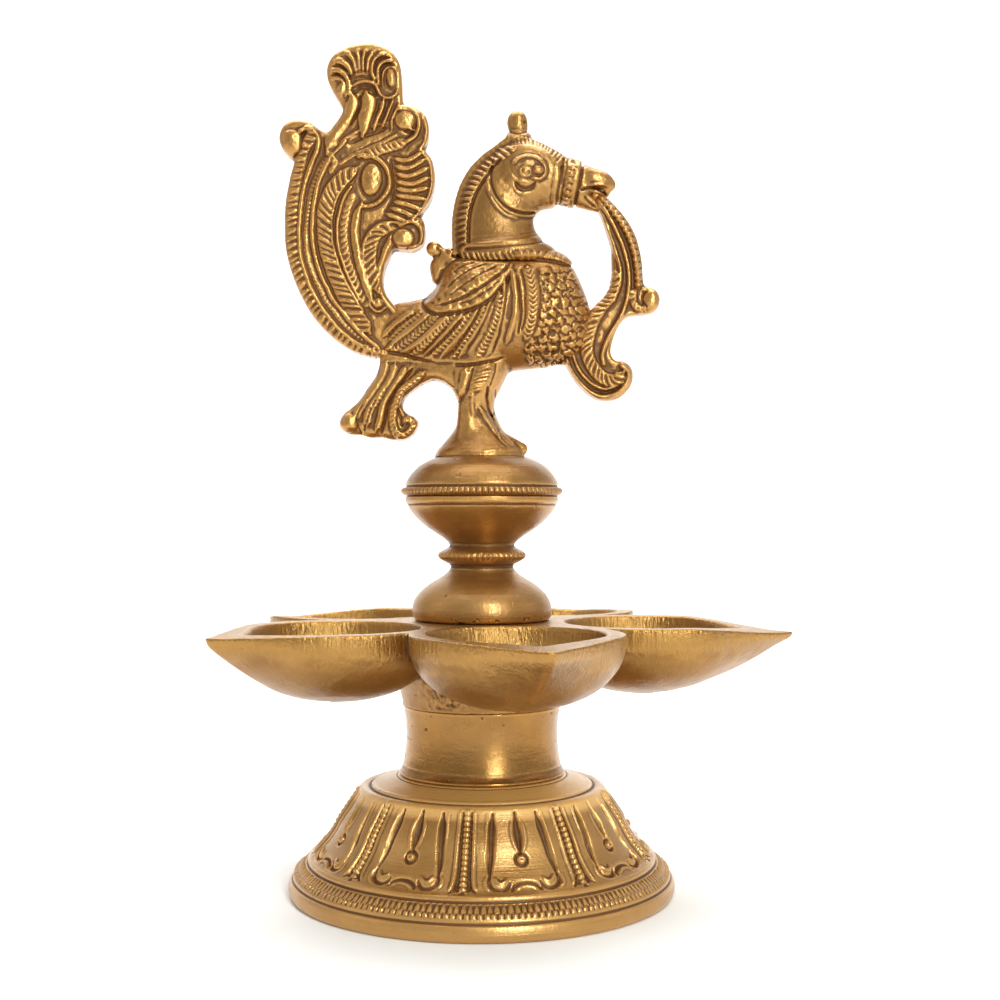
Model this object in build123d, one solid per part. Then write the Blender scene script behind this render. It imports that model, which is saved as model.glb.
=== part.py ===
from build123d import *
import math
import os

os.makedirs("parts", exist_ok=True)

# Brass standing oil lamp with five wicks and a bird finial.
# Millimetres, +Z up, origin at the centre of the foot's standing circle.

# ---------------------------------------------------------------- dimensions
FOOT_R = 43.1  # widest radius of the foot
JOINT_FOOT = 26.0  # the column stands on the foot here
JOINT_DISH = 41.5  # the dish sits on the column here
DISH_TOP = 60.3  # flat rim plane of the cups
JOINT_VASE = 88.2  # the beaded cap closes the vase here
CAP_TOP = 97.0  # the bird's foot pad stands here

STUD_R = 3.95  # M8 stud, drawn as a plain cylinder
STUD_HOLE_R = 4.00  # running clearance of 0.05 on the radius
STUD_GRIP = 7.0  # length of stud in each casting
HOLE_EXTRA = 0.8  # blind end behind each stud

CUP_R = 21.6  # outer radius of a cup's round part
CUP_C = 37.0  # distance of a cup's centre from the axis
# azimuth of each cup (degrees about +Z from +X), reach of its spout, droop of its tip
CUPS = [
    ("front", -79.0, 67.3, 0.9),
    ("right", -8.0, 69.0, 1.9),
    ("back_right", 65.0, 67.5, 1.8),
    ("back_left", 142.0, 67.4, 2.4),
    ("left", 213.0, 66.0, 1.0),
]

TAIL_HALF = 3.9  # half thickness of the tail fan
SCROLL_HALF = 4.2
GARLAND_HALF = 3.2

SPIGOT_R = 2.5  # pin that rivets the bird to the cap


# ------------------------------------------------------------------- helpers
def turned(*runs):
    """A solid of revolution from runs of (r, z): lists are splines, tuples of points are straight."""
    edges, last = [], None
    first = runs[0][1][0]
    for kind, pts in runs:
        if last is not None and (
            abs(last[0] - pts[0][0]) > 1e-9 or abs(last[1] - pts[0][1]) > 1e-9
        ):
            edges.append(Line(last, pts[0]))
        if kind == "s":
            edges.append(Spline(*pts))
        else:
            for a, b in zip(pts, pts[1:]):
                edges.append(Line(a, b))
        last = pts[-1]
    if abs(last[0] - first[0]) > 1e-9 or abs(last[1] - first[1]) > 1e-9:
        edges.append(Line(last, first))
    face = make_face(edges)
    return revolve(Plane.XZ * face, axis=Axis.Z)


def rod(r, z0, z1, x=0.0, y=0.0):
    return Pos(x, y, (z0 + z1) / 2) * Cylinder(r, z1 - z0)


def plate(outline, half):
    """A flat casting in the XZ plane, its outline in (x, z)."""
    face = make_face(Polyline(*outline, close=True))
    return extrude(Plane.XZ * face, amount=half, both=True)


def biggest(shape):
    return Part() + max(shape.solids(), key=lambda s: s.volume)


def ellipse_x(x, z_top, z_bottom, half):
    at = Plane(origin=(x, 0, (z_top + z_bottom) / 2), x_dir=(0, 1, 0), z_dir=(1, 0, 0))
    return at * Ellipse(half, (z_top - z_bottom) / 2)


def ellipse_z(z, x0, x1, half, y=0.0):
    return Pos((x0 + x1) / 2, y, z) * Ellipse((x1 - x0) / 2, half)


# --------------------------------------------------------------------- foot
# A hollow bell: standing rim, beaded band, panelled flank, shoulder, and a
# boss inside that takes the column's stud.
foot = turned(
    ("l", [(39.6, 0.0), (43.0, 0.0), (FOOT_R, 1.2)]),
    (
        "s",
        [
            (FOOT_R, 1.2),
            (42.8, 3.5),
            (41.5, 5.2),
            (38.8, 7.7),
            (35.5, 11.0),
            (32.9, 14.5),
            (31.0, 18.0),
            (29.0, 21.0),
            (27.2, 23.2),
        ],
    ),
    ("l", [(27.2, 23.2), (25.2, 23.7), (18.6, 25.9), (18.4, JOINT_FOOT)]),
    ("l", [(STUD_HOLE_R, JOINT_FOOT), (STUD_HOLE_R, 17.0), (9.0, 17.0), (9.0, 21.6)]),
    (
        "s",
        [
            (10.5, 22.6),
            (20.5, 21.6),
            (25.3, 18.9),
            (28.0, 15.5),
            (30.6, 12.0),
            (34.6, 7.6),
            (38.6, 3.6),
            (39.6, 1.4),
        ],
    ),
)

# ------------------------------------------------------------------- column
column = turned(
    (
        "l",
        [
            (0.0, JOINT_FOOT),
            (18.3, JOINT_FOOT),
            (18.55, 26.3),
            (18.5, 26.8),
        ],
    ),
    (
        "s",
        [
            (18.5, 26.8),
            (17.9, 27.6),
            (17.35, 30.5),
            (17.0, 34.0),
            (17.05, 37.5),
            (17.4, 40.0),
            (17.7, JOINT_DISH),
        ],
    ),
    ("l", [(17.7, JOINT_DISH), (0.0, JOINT_DISH)]),
)
column -= rod(STUD_HOLE_R, JOINT_FOOT - 1, JOINT_FOOT + STUD_GRIP + HOLE_EXTRA / 2)
column -= rod(STUD_HOLE_R, JOINT_DISH - STUD_GRIP - HOLE_EXTRA / 2, JOINT_DISH + 1)


# -------------------------------------------------------------------- studs
def stud(z):
    body = rod(STUD_R, z - STUD_GRIP, z + STUD_GRIP)
    return chamfer(body.edges().filter_by(GeomType.CIRCLE), 0.6)


column_stud = stud(JOINT_FOOT)
dish_stud = stud(JOINT_DISH)
finial_stud = stud(DISH_TOP)


# --------------------------------------------------------------------- dish
def teardrop(z, c, r, tip):
    """A round of radius r about (c, 0) drawn out to a point at (tip, 0)."""
    a = math.acos(r / (tip - c))
    p = (c + r * math.cos(a), r * math.sin(a))
    q = (p[0], -p[1])
    edges = [
        ThreePointArc(p, (c - r, 0), q),
        Line(q, (tip, 0)),
        Line((tip, 0), p),
    ]
    return Pos(0, 0, z) * make_face(edges)


def cup_outer(reach):
    d = reach - 67.5
    levels = [
        (DISH_TOP, CUP_C, CUP_R, 68.4 + d),
        (57.8, CUP_C, CUP_R, 67.6 + d),
        (55.4, 36.9, 21.3, 63.9 + 0.8 * d),
        (52.8, 36.7, 20.0, 60.2 + 0.6 * d),
        (49.7, 36.4, 17.2, 55.0 + 0.4 * d),
        (47.4, 36.0, 13.5, 50.4),
        (46.0, 35.6, 9.6, 45.9),
        (45.2, 35.4, 5.2, 40.9),
    ]
    return loft([teardrop(*v) for v in levels])


def cup_inner():
    levels = [
        (61.5, 36.6, 18.0, 58.6),
        (59.0, 36.6, 17.8, 57.4),
        (56.0, 36.5, 17.0, 55.2),
        (53.0, 36.3, 15.2, 52.3),
        (50.5, 36.0, 12.0, 48.6),
        (48.9, 35.8, 8.0, 44.2),
        (48.1, 35.6, 4.0, 39.8),
    ]
    return loft([teardrop(*v) for v in levels])


hub = turned(
    (
        "l",
        [
            (0.0, JOINT_DISH),
            (17.6, JOINT_DISH),
            (18.0, 44.0),
            (20.5, 48.5),
            (24.6, 54.0),
            (27.4, 57.6),
            (28.0, DISH_TOP),
            (0.0, DISH_TOP),
        ],
    )
)
five_wick_dish = hub
for name, turn, reach, droop in CUPS:
    five_wick_dish += Rot(0, 0, turn) * cup_outer(reach)
for name, turn, reach, droop in CUPS:
    slope = droop / 23.5
    wedge = extrude(
        Plane.XZ
        * make_face(
            Polyline(
                (44.0, DISH_TOP),
                (75.0, DISH_TOP - 31.0 * slope),
                (75.0, 64.0),
                (44.0, 64.0),
                close=True,
            )
        ),
        amount=24,
        both=True,
    )
    blunt = Pos(reach + 5.0, 0, 55) * Box(10, 20, 30)
    five_wick_dish -= Rot(0, 0, turn) * cup_inner()
    five_wick_dish -= Rot(0, 0, turn) * wedge
    five_wick_dish -= Rot(0, 0, turn) * blunt
five_wick_dish -= rod(STUD_HOLE_R, JOINT_DISH - 1, JOINT_DISH + STUD_GRIP + HOLE_EXTRA)
five_wick_dish -= rod(STUD_HOLE_R, DISH_TOP - STUD_GRIP - HOLE_EXTRA, DISH_TOP + 1)

# ----------------------------------------------------------------- baluster
# Bell base, neck with a ribbed ring, and the lower half of the vase.
baluster = turned(
    (
        "s",
        [
            (14.9, DISH_TOP),
            (15.6, 61.4),
            (15.65, 63.0),
            (15.2, 65.0),
            (13.9, 66.7),
            (11.8, 68.5),
            (8.9, 70.2),
            (7.3, 71.6),
            (7.3, 72.9),
        ],
    ),
    (
        "l",
        [
            (7.3, 72.9),
            (9.1, 73.9),
            (9.6, 74.5),
            (9.6, 75.1),
            (9.1, 75.8),
            (7.5, 76.8),
            (7.4, 77.6),
        ],
    ),
    (
        "s",
        [
            (7.4, 77.6),
            (9.2, 79.2),
            (12.0, 81.0),
            (14.1, 82.8),
            (15.8, 84.6),
            (16.8, 86.4),
            (17.3, JOINT_VASE),
        ],
    ),
    ("l", [(17.3, JOINT_VASE), (14.4, JOINT_VASE), (14.4, 86.7)]),
    ("s", [(14.4, 86.7), (12.9, 84.9), (10.4, 83.0), (7.0, 81.6)]),
    ("l", [(7.0, 81.6), (0.0, 81.2), (0.0, DISH_TOP)]),
)
baluster -= rod(STUD_HOLE_R, DISH_TOP - 1, DISH_TOP + STUD_GRIP + HOLE_EXTRA)

# ----------------------------------------------------------------- vase cap
# Beaded girdle and dome, with a tenon ring that seats in the vase's mouth.
vase_cap = turned(
    (
        "l",
        [
            (SPIGOT_R, CAP_TOP),
            (SPIGOT_R, 94.4),
            (8.6, 94.1),
            (11.9, 92.9),
            (13.3, 90.8),
            (13.0, 86.9),
            (14.3, 86.9),
            (14.3, JOINT_VASE),
            (17.0, JOINT_VASE),
            (17.1, 88.4),
            (18.0, 88.8),
            (18.1, 89.3),
            (18.0, 89.8),
            (17.3, 90.3),
        ],
    ),
    (
        "s",
        [(17.3, 90.3), (16.9, 91.6), (16.0, 93.0), (14.4, 94.8), (12.0, 96.2), (10.2, CAP_TOP)],
    ),
)

# --------------------------------------------------------------------- bird
bird_spigot = rod(SPIGOT_R, 94.0, 103.5) + rod(4.0, 92.6, 94.05)

trunk = loft(
    [
        ellipse_x(*v)
        for v in [
            (-21.9, 129.7, 120.9, 2.6),
            (-19.4, 131.8, 118.8, 4.0),
            (-16.0, 132.5, 117.5, 5.5),
            (-10.1, 136.0, 116.7, 8.0),
            (-3.8, 142.3, 116.2, 9.4),
            (4.0, 144.6, 116.2, 10.0),
            (10.8, 144.7, 116.8, 9.8),
            (16.0, 143.5, 117.6, 8.6),
            (20.3, 139.6, 118.5, 6.4),
            (23.5, 133.0, 121.7, 3.2),
        ]
    ]
)
thigh = loft(
    [
        ellipse_z(*v)
        for v in [
            (122.0, -7.0, 6.5, 7.4),
            (117.5, -6.6, 6.2, 7.0),
            (113.8, -6.4, 5.0, 6.6),
            (110.6, -5.7, 3.4, 6.2),
        ]
    ]
)
near_leg = loft(
    [
        ellipse_z(*v)
        for v in [
            (113.0, -5.9, 0.6, 2.9, -3.1),
            (109.5, -5.5, 0.4, 2.7, -3.0),
            (105.5, -5.7, 0.6, 2.8, -2.9),
            (101.5, -7.0, 2.4, 3.6, -2.8),
        ]
    ]
)
far_leg = loft(
    [
        ellipse_z(*v)
        for v in [
            (113.0, -3.0, 3.9, 2.9, 3.1),
            (109.5, -2.6, 3.1, 2.7, 3.0),
            (105.5, -2.5, 3.6, 2.8, 2.9),
            (101.5, -3.6, 6.0, 3.6, 2.8),
        ]
    ]
)
pad = loft(
    [
        ellipse_z(*v)
        for v in [
            (105.4, -5.9, 4.0, 5.4),
            (102.6, -6.9, 5.6, 6.4),
            (100.2, -8.8, 8.6, 7.6),
            (98.9, -10.0, 9.8, 9.0),
            (CAP_TOP, -10.6, 9.7, 9.9),
        ]
    ]
)
tail_scroll = plate(
    [
        (-20.5, 121.6),
        (-22.9, 118.7),
        (-23.5, 115.8),
        (-27.1, 110.4),
        (-28.5, 108.3),
        (-30.7, 106.7),
        (-31.9, 104.1),
        (-31.0, 102.5),
        (-28.5, 101.8),
        (-24.9, 101.0),
        (-20.2, 100.7),
        (-17.0, 101.0),
        (-14.8, 103.2),
        (-14.1, 105.0),
        (-16.6, 107.0),
        (-17.7, 107.9),
        (-17.4, 109.7),
        (-15.6, 111.3),
        (-12.3, 113.6),
        (-10.9, 114.0),
        (-8.7, 113.5),
        (-6.6, 111.5),
        (-4.5, 110.8),
        (-3.2, 118.9),
    ],
    SCROLL_HALF,
)
knob = Pos(-10.8, 0, 144.0) * Sphere(1.75)
knob += loft([ellipse_z(137.5, -9.6, -4.0, 2.6), ellipse_z(144.8, -10.9, -5.2, 1.5)])
bird_body = biggest(trunk + thigh + near_leg + far_leg + pad + tail_scroll + knob)
bird_body -= rod(SPIGOT_R, CAP_TOP - 1, 103.5)

neck = loft(
    [
        ellipse_z(*v)
        for v in [
            (141.6, -5.6, 17.4, 8.0),
            (143.4, -6.7, 17.0, 8.0),
            (146.4, -6.8, 12.6, 6.6),
            (149.2, -6.8, 11.8, 6.0),
            (152.3, -6.7, 12.6, 5.8),
            (155.5, -6.3, 15.6, 5.8),
            (159.1, -5.0, 18.9, 5.9),
            (162.7, -2.7, 19.6, 5.8),
            (166.3, 2.0, 17.9, 5.1),
            (168.9, 5.4, 15.0, 3.2),
        ]
    ]
)
beak = loft(
    [
        ellipse_x(*v)
        for v in [
            (17.5, 163.9, 154.0, 4.8),
            (20.6, 163.6, 154.1, 4.6),
            (22.6, 162.0, 153.6, 3.7),
            (26.2, 161.0, 153.0, 3.1),
            (29.4, 159.5, 156.6, 2.2),
        ]
    ]
)
crest = Pos(8.1, 0, 172.7) * Sphere(2.25)
crest += loft([ellipse_z(167.6, 4.4, 13.6, 2.6), ellipse_z(171.6, 5.9, 10.4, 2.0)])
bird_neck_head = biggest((neck + beak + crest) - bird_body)

tail_fan = plate(
    [
        (-18.9, 120.7),
        (-22.1, 119.6),
        (-27.1, 120.1),
        (-29.9, 121.2),
        (-34.2, 124.4),
        (-37.9, 128.4),
        (-40.7, 133.4),
        (-42.9, 138.8),
        (-44.2, 144.2),
        (-44.3, 150.6),
        (-43.9, 155.4),
        (-43.0, 160.1),
        (-42.3, 163.6),
        (-44.2, 165.2),
        (-45.4, 167.9),
        (-45.2, 170.4),
        (-43.5, 172.2),
        (-41.1, 172.7),
        (-38.4, 172.0),
        (-36.5, 170.6),
        (-34.6, 170.0),
        (-32.9, 171.7),
        (-31.7, 173.8),
        (-31.4, 175.6),
        (-33.2, 178.3),
        (-34.6, 181.3),
        (-34.9, 183.9),
        (-34.1, 186.4),
        (-32.0, 188.0),
        (-28.9, 189.3),
        (-25.1, 189.9),
        (-22.6, 189.5),
        (-20.5, 188.4),
        (-18.4, 185.2),
        (-17.8, 180.1),
        (-17.6, 176.6),
        (-15.0, 175.5),
        (-12.4, 172.8),
        (-12.0, 168.7),
        (-12.7, 166.2),
        (-10.8, 161.7),
        (-10.5, 158.6),
        (-11.5, 154.8),
        (-13.7, 151.3),
        (-12.7, 148.2),
        (-12.9, 145.3),
        (-15.2, 143.7),
        (-19.9, 143.5),
        (-21.3, 139.9),
        (-22.2, 137.4),
        (-21.7, 134.2),
        (-20.2, 131.5),
        (-17.6, 128.9),
    ],
    TAIL_HALF,
)
tail_fan = biggest(tail_fan - bird_body)

garland = plate(
    [
        (25.7, 157.3),
        (28.3, 155.5),
        (30.9, 152.9),
        (33.2, 149.9),
        (35.0, 146.2),
        (36.1, 140.6),
        (36.5, 135.6),
        (38.4, 135.2),
        (39.8, 133.6),
        (40.1, 131.8),
        (38.4, 129.4),
        (35.6, 128.9),
        (32.4, 128.4),
        (30.5, 125.8),
        (29.3, 123.0),
        (29.0, 120.6),
        (30.5, 118.7),
        (32.4, 118.3),
        (33.8, 116.9),
        (34.1, 114.9),
        (33.1, 112.4),
        (30.5, 109.9),
        (27.2, 109.5),
        (24.6, 110.8),
        (21.6, 113.8),
        (19.0, 117.3),
        (19.9, 123.4),
        (22.4, 130.2),
        (27.2, 132.6),
        (29.0, 135.6),
        (29.4, 139.1),
        (29.0, 145.1),
        (27.5, 150.3),
        (25.3, 155.7),
    ],
    GARLAND_HALF,
)
garland = biggest(garland - bird_body - bird_neck_head)

# ------------------------------------------------------------------- export
NODES = {
    "foot": foot,
    "column_stud": column_stud,
    "column": column,
    "dish_stud": dish_stud,
    "five_wick_dish": five_wick_dish,
    "finial_stud": finial_stud,
    "baluster": baluster,
    "vase_cap": vase_cap,
    "bird_spigot": bird_spigot,
    "bird_body": bird_body,
    "bird_neck_head": bird_neck_head,
    "tail_fan": tail_fan,
    "garland": garland,
}
for name, shape in NODES.items():
    export_step(shape, f"parts/{name}.step")
    print(name, len(shape.solids()), "solid(s)", round(shape.volume / 1000, 2), "cm3")
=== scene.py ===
import math

import bpy
import numpy as np
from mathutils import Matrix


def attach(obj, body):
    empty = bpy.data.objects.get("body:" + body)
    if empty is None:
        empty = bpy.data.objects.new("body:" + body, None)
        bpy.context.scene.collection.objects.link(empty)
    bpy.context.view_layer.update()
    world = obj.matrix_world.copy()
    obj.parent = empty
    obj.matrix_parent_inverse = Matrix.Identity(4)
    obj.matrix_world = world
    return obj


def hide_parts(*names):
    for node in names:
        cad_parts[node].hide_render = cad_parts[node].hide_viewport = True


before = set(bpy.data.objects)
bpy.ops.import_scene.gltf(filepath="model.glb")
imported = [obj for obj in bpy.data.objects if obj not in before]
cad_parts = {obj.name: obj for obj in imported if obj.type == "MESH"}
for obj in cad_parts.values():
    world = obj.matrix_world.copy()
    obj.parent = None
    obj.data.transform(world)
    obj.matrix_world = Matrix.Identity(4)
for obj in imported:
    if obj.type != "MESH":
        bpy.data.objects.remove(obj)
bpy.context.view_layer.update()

import openvdb
from mathutils import Vector

rng = np.random.default_rng(7)

# --------------------------------------------------------------------------
# Units. Forms are modelled in millimetres and written out in metres. The
# relief of the bird is drawn on a sketch grid: U sketch units to the
# millimetre, with the lamp's axis at 482 and the eye height at 512.
# --------------------------------------------------------------------------
U = 4.4317


def sk(pts):
    """Sketch units to (x, z) in millimetres."""
    p = np.asarray(pts, float).reshape(-1, 2)
    return np.stack([(p[:, 0] - 482.0) / U, 84.62 - (p[:, 1] - 512.0) / U], 1)


def smooth(pts, step=0.35, closed=False):
    """Points along a Catmull-Rom spline through pts, about step apart."""
    p = np.asarray(pts, float)
    n = len(p)
    if n == 2 and not closed:
        k = max(2, int(np.linalg.norm(p[1] - p[0]) / step) + 1)
        return p[0] + (p[1] - p[0]) * np.linspace(0, 1, k)[:, None]
    if closed:
        q = np.vstack([p[-1], p, p[0], p[1]])
        spans = n
    else:
        q = np.vstack([2 * p[0] - p[1], p, 2 * p[-1] - p[-2]])
        spans = n - 1
    out = []
    for i in range(spans):
        a, b, c, d = q[i], q[i + 1], q[i + 2], q[i + 3]
        k = max(2, int(np.linalg.norm(c - b) / step) + 1)
        t = np.linspace(0, 1, k, endpoint=False)[:, None]
        out.append(
            0.5
            * (
                2 * b
                + (c - a) * t
                + (2 * a - 5 * b + 4 * c - d) * t**2
                + (3 * b - a - 3 * c + d) * t**3
            )
        )
    if not closed:
        out.append(p[-1:])
    return np.vstack(out)


def value_noise(x, y, z, scale, seed=0, octaves=3):
    """Smooth 3-D value noise in -1..1."""
    total, amp, norm = 0.0, 1.0, 0.0
    for o in range(octaves):
        s = scale / 2**o
        xi, yi, zi = x / s, y / s, z / s
        x0, y0, z0 = np.floor(xi), np.floor(yi), np.floor(zi)
        fx, fy, fz = xi - x0, yi - y0, zi - z0
        fx, fy, fz = (f * f * (3 - 2 * f) for f in (fx, fy, fz))

        def rnd(a, b, c):
            h = (
                a.astype(np.int64) * 73856093
                ^ b.astype(np.int64) * 19349663
                ^ c.astype(np.int64) * 83492791
                ^ (seed + o * 1013) * 2654435761
            )
            h = (h ^ (h >> 13)) * 1274126177
            return ((h ^ (h >> 16)) & 0xFFFF) / 32767.5 - 1.0

        v = 0.0
        for i in (0, 1):
            for j in (0, 1):
                for k in (0, 1):
                    w = (
                        (fx if i else 1 - fx)
                        * (fy if j else 1 - fy)
                        * (fz if k else 1 - fz)
                    )
                    v = v + w * rnd(x0 + i, y0 + j, z0 + k)
        total, norm, amp = total + amp * v, norm + amp, amp * 0.5
    return total / norm


# --------------------------------------------------------------------------
# Relief: a height map over a plane, drawn with strokes
# --------------------------------------------------------------------------
class Relief:
    def __init__(self, x0, x1, z0, z1, h=0.12):
        self.h = h
        self.x = np.arange(x0, x1 + h, h)
        self.z = np.arange(z0, z1 + h, h)
        self.D = np.zeros((len(self.x), len(self.z)))

    def inside(self, outline):
        """Mask and signed distance (negative inside) of a closed outline."""
        X, Z = np.meshgrid(self.x, self.z, indexing="ij")
        return polygon(X, Z, outline)

    def near(self, pts, reach, step=0.35):
        """Distance, arc length and signed side of the nearest point of a stroke, on the window round it."""
        line = smooth(pts, step)
        lo, hi = line.min(0) - reach, line.max(0) + reach
        i0, i1 = np.searchsorted(self.x, [lo[0], hi[0]])
        j0, j1 = np.searchsorted(self.z, [lo[1], hi[1]])
        i0, j0 = max(i0 - 1, 0), max(j0 - 1, 0)
        win = (slice(i0, i1 + 1), slice(j0, j1 + 1))
        x, z = self.x[win[0]], self.z[win[1]]
        d = np.full((len(x), len(z)), 1e9)
        s, side = np.zeros_like(d), np.zeros_like(d)
        run = 0.0
        for a, b in zip(line, line[1:]):
            ab = b - a
            length = float(np.hypot(*ab))
            if length < 1e-9:
                continue
            p0, p1 = np.searchsorted(
                x, [min(a[0], b[0]) - reach, max(a[0], b[0]) + reach]
            )
            q0, q1 = np.searchsorted(
                z, [min(a[1], b[1]) - reach, max(a[1], b[1]) + reach]
            )
            px = x[p0:p1][:, None] - a[0]
            pz = z[q0:q1][None, :] - a[1]
            t = np.clip((px * ab[0] + pz * ab[1]) / length**2, 0, 1)
            dx, dz = px - t * ab[0], pz - t * ab[1]
            dist = np.sqrt(dx * dx + dz * dz)
            cur = d[p0:p1, q0:q1]
            m = dist < cur
            cur[m] = dist[m]
            s[p0:p1, q0:q1][m] = (run + t * length)[m]
            side[p0:p1, q0:q1][m] = np.sign(ab[0] * pz - ab[1] * px)[m]
            run += length
        return win, d, s, side, run

    def stroke(self, pts, width, profile, how="max", taper=(0.0, 0.0)):
        """Draws a stroke of full width width (mm). profile(q, s, side, d, run) gives the height, q from 0 on the line to 1 at its edge."""
        half = width / 2
        win, d, s, side, run = self.near(pts, half * 1.05)
        w = np.full_like(d, half)
        if taper[0]:
            w = w * np.clip(s / taper[0], 0.15, 1) ** 0.6
        if taper[1]:
            w = w * np.clip((run - s) / taper[1], 0.15, 1) ** 0.6
        m = d < w
        q = (d / w)[m]
        val = profile(q, s[m], side[m], d[m], run)
        cur = self.D[win]
        if how == "max":
            cur[m] = np.maximum(cur[m], val)
        elif how == "add":
            cur[m] += val
        elif how == "min":
            cur[m] = np.minimum(cur[m], val)
        elif how == "set":
            cur[m] = val

    def blob(self, centre, rx, rz, height, turn=0.0, how="max", power=0.5):
        """A rounded bump: an ellipse of radii rx, rz (mm)."""
        X = self.x[:, None] - centre[0]
        Z = self.z[None, :] - centre[1]
        c, s = math.cos(math.radians(turn)), math.sin(math.radians(turn))
        r2 = ((X * c + Z * s) / rx) ** 2 + ((-X * s + Z * c) / rz) ** 2
        m = r2 < 1
        val = height * (1 - r2[m]) ** power
        if how == "max":
            self.D[m] = np.maximum(self.D[m], val)
        elif how == "add":
            self.D[m] += val
        elif how == "set":
            self.D[m] = val

    def blur(self, sigma):
        """A gaussian blur of the map, by FFT."""
        kx = np.fft.fftfreq(len(self.x), self.h)[:, None]
        kz = np.fft.rfftfreq(len(self.z), self.h)[None, :]
        g = np.exp(-2 * (math.pi * sigma) ** 2 * (kx**2 + kz**2))
        return np.fft.irfft2(np.fft.rfft2(self.D) * g, s=self.D.shape)

    def by_hand(self, seed, shift=0.15, gain=0.22, rough=0.05):
        """Makes the strokes uneven, as a hand-cut pattern is."""
        X, Z = np.meshgrid(self.x, self.z, indexing="ij")
        dx = value_noise(X, Z, 0 * X, 2.6, seed, 2)
        dz = value_noise(X, Z, 0 * X, 2.6, seed + 1, 2)
        self.D = self.at(X + shift * dx, Z + shift * dz)
        self.D *= 1 + gain * value_noise(X, Z, 0 * X, 1.3, seed + 2, 2)
        self.D += rough * value_noise(X, Z, 0 * X, 0.9, seed + 3, 2)

    def at(self, x, z, field=None):
        """The map at points, bilinear."""
        f = self.D if field is None else field
        u = np.clip((x - self.x[0]) / self.h, 0, len(self.x) - 1.001)
        v = np.clip((z - self.z[0]) / self.h, 0, len(self.z) - 1.001)
        i, j = u.astype(int), v.astype(int)
        a, b = u - i, v - j
        return (
            f[i, j] * (1 - a) * (1 - b)
            + f[i + 1, j] * a * (1 - b)
            + f[i, j + 1] * (1 - a) * b
            + f[i + 1, j + 1] * a * b
        )


def ridge(h, round_=1.0):
    return lambda q, s, side, d, run: h * (1 - q**2) ** round_


def groove(h):
    return lambda q, s, side, d, run: -h * (1 - q**2)


def ribs(h, pitch, low=0.35, slant=0.0, sharp=1.0, edge=0.45):
    """A rounded band crossed by ribs."""

    def f(q, s, side, d, run):
        p = s + slant * side * d
        p = p + pitch * (0.16 * np.sin(0.9 * p / pitch + 1.3) + 0.10 * np.sin(2.3 * p / pitch))
        wave = 0.5 + 0.5 * np.cos(2 * math.pi * p / pitch)
        k = np.round(p / pitch)
        uneven = np.sin(k * 12.9898 + run) * 43758.5453 % 1.0 - 0.5
        return h * (low + (1 - low) * wave ** (0.62 * sharp) * (1 + 0.45 * uneven)) * (1 - q**4) ** edge

    return f


def chevrons(h, pitch, low=0.3, slope=0.8):
    """A band of V marks, as on a feather."""

    def f(q, s, side, d, run):
        wave = 0.5 + 0.5 * np.cos(2 * math.pi * (s + slope * d) / pitch)
        return h * (low + (1 - low) * wave) * (1 - q**4) ** 0.5

    return f


def beads(h, pitch, r):
    def f(q, s, side, d, run):
        n = max(1, round(run / pitch))
        p = run / n
        off = (s / p) % 1 - 0.5
        return h * np.sqrt(np.clip(1 - (d**2 + (off * p) ** 2) / r**2, 0, 1))

    return f


def polygon(X, Z, outline):
    """Signed distance (negative inside) of points to a closed outline."""
    p = np.asarray(outline, float)
    d2 = np.full(X.shape, 1e18)
    inside = np.zeros(X.shape, bool)
    for a, b in zip(p, np.roll(p, -1, 0)):
        ab = b - a
        ll = float(ab @ ab)
        if ll < 1e-12:
            continue
        px, pz = X - a[0], Z - a[1]
        t = np.clip((px * ab[0] + pz * ab[1]) / ll, 0, 1)
        d2 = np.minimum(d2, (px - t * ab[0]) ** 2 + (pz - t * ab[1]) ** 2)
        if abs(ab[1]) > 1e-12:
            hit = ((a[1] > Z) != (b[1] > Z)) & (
                px < ab[0] * (Z - a[1]) / ab[1]
            )
            inside ^= hit
    return np.where(inside, -1, 1) * np.sqrt(d2)


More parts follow.
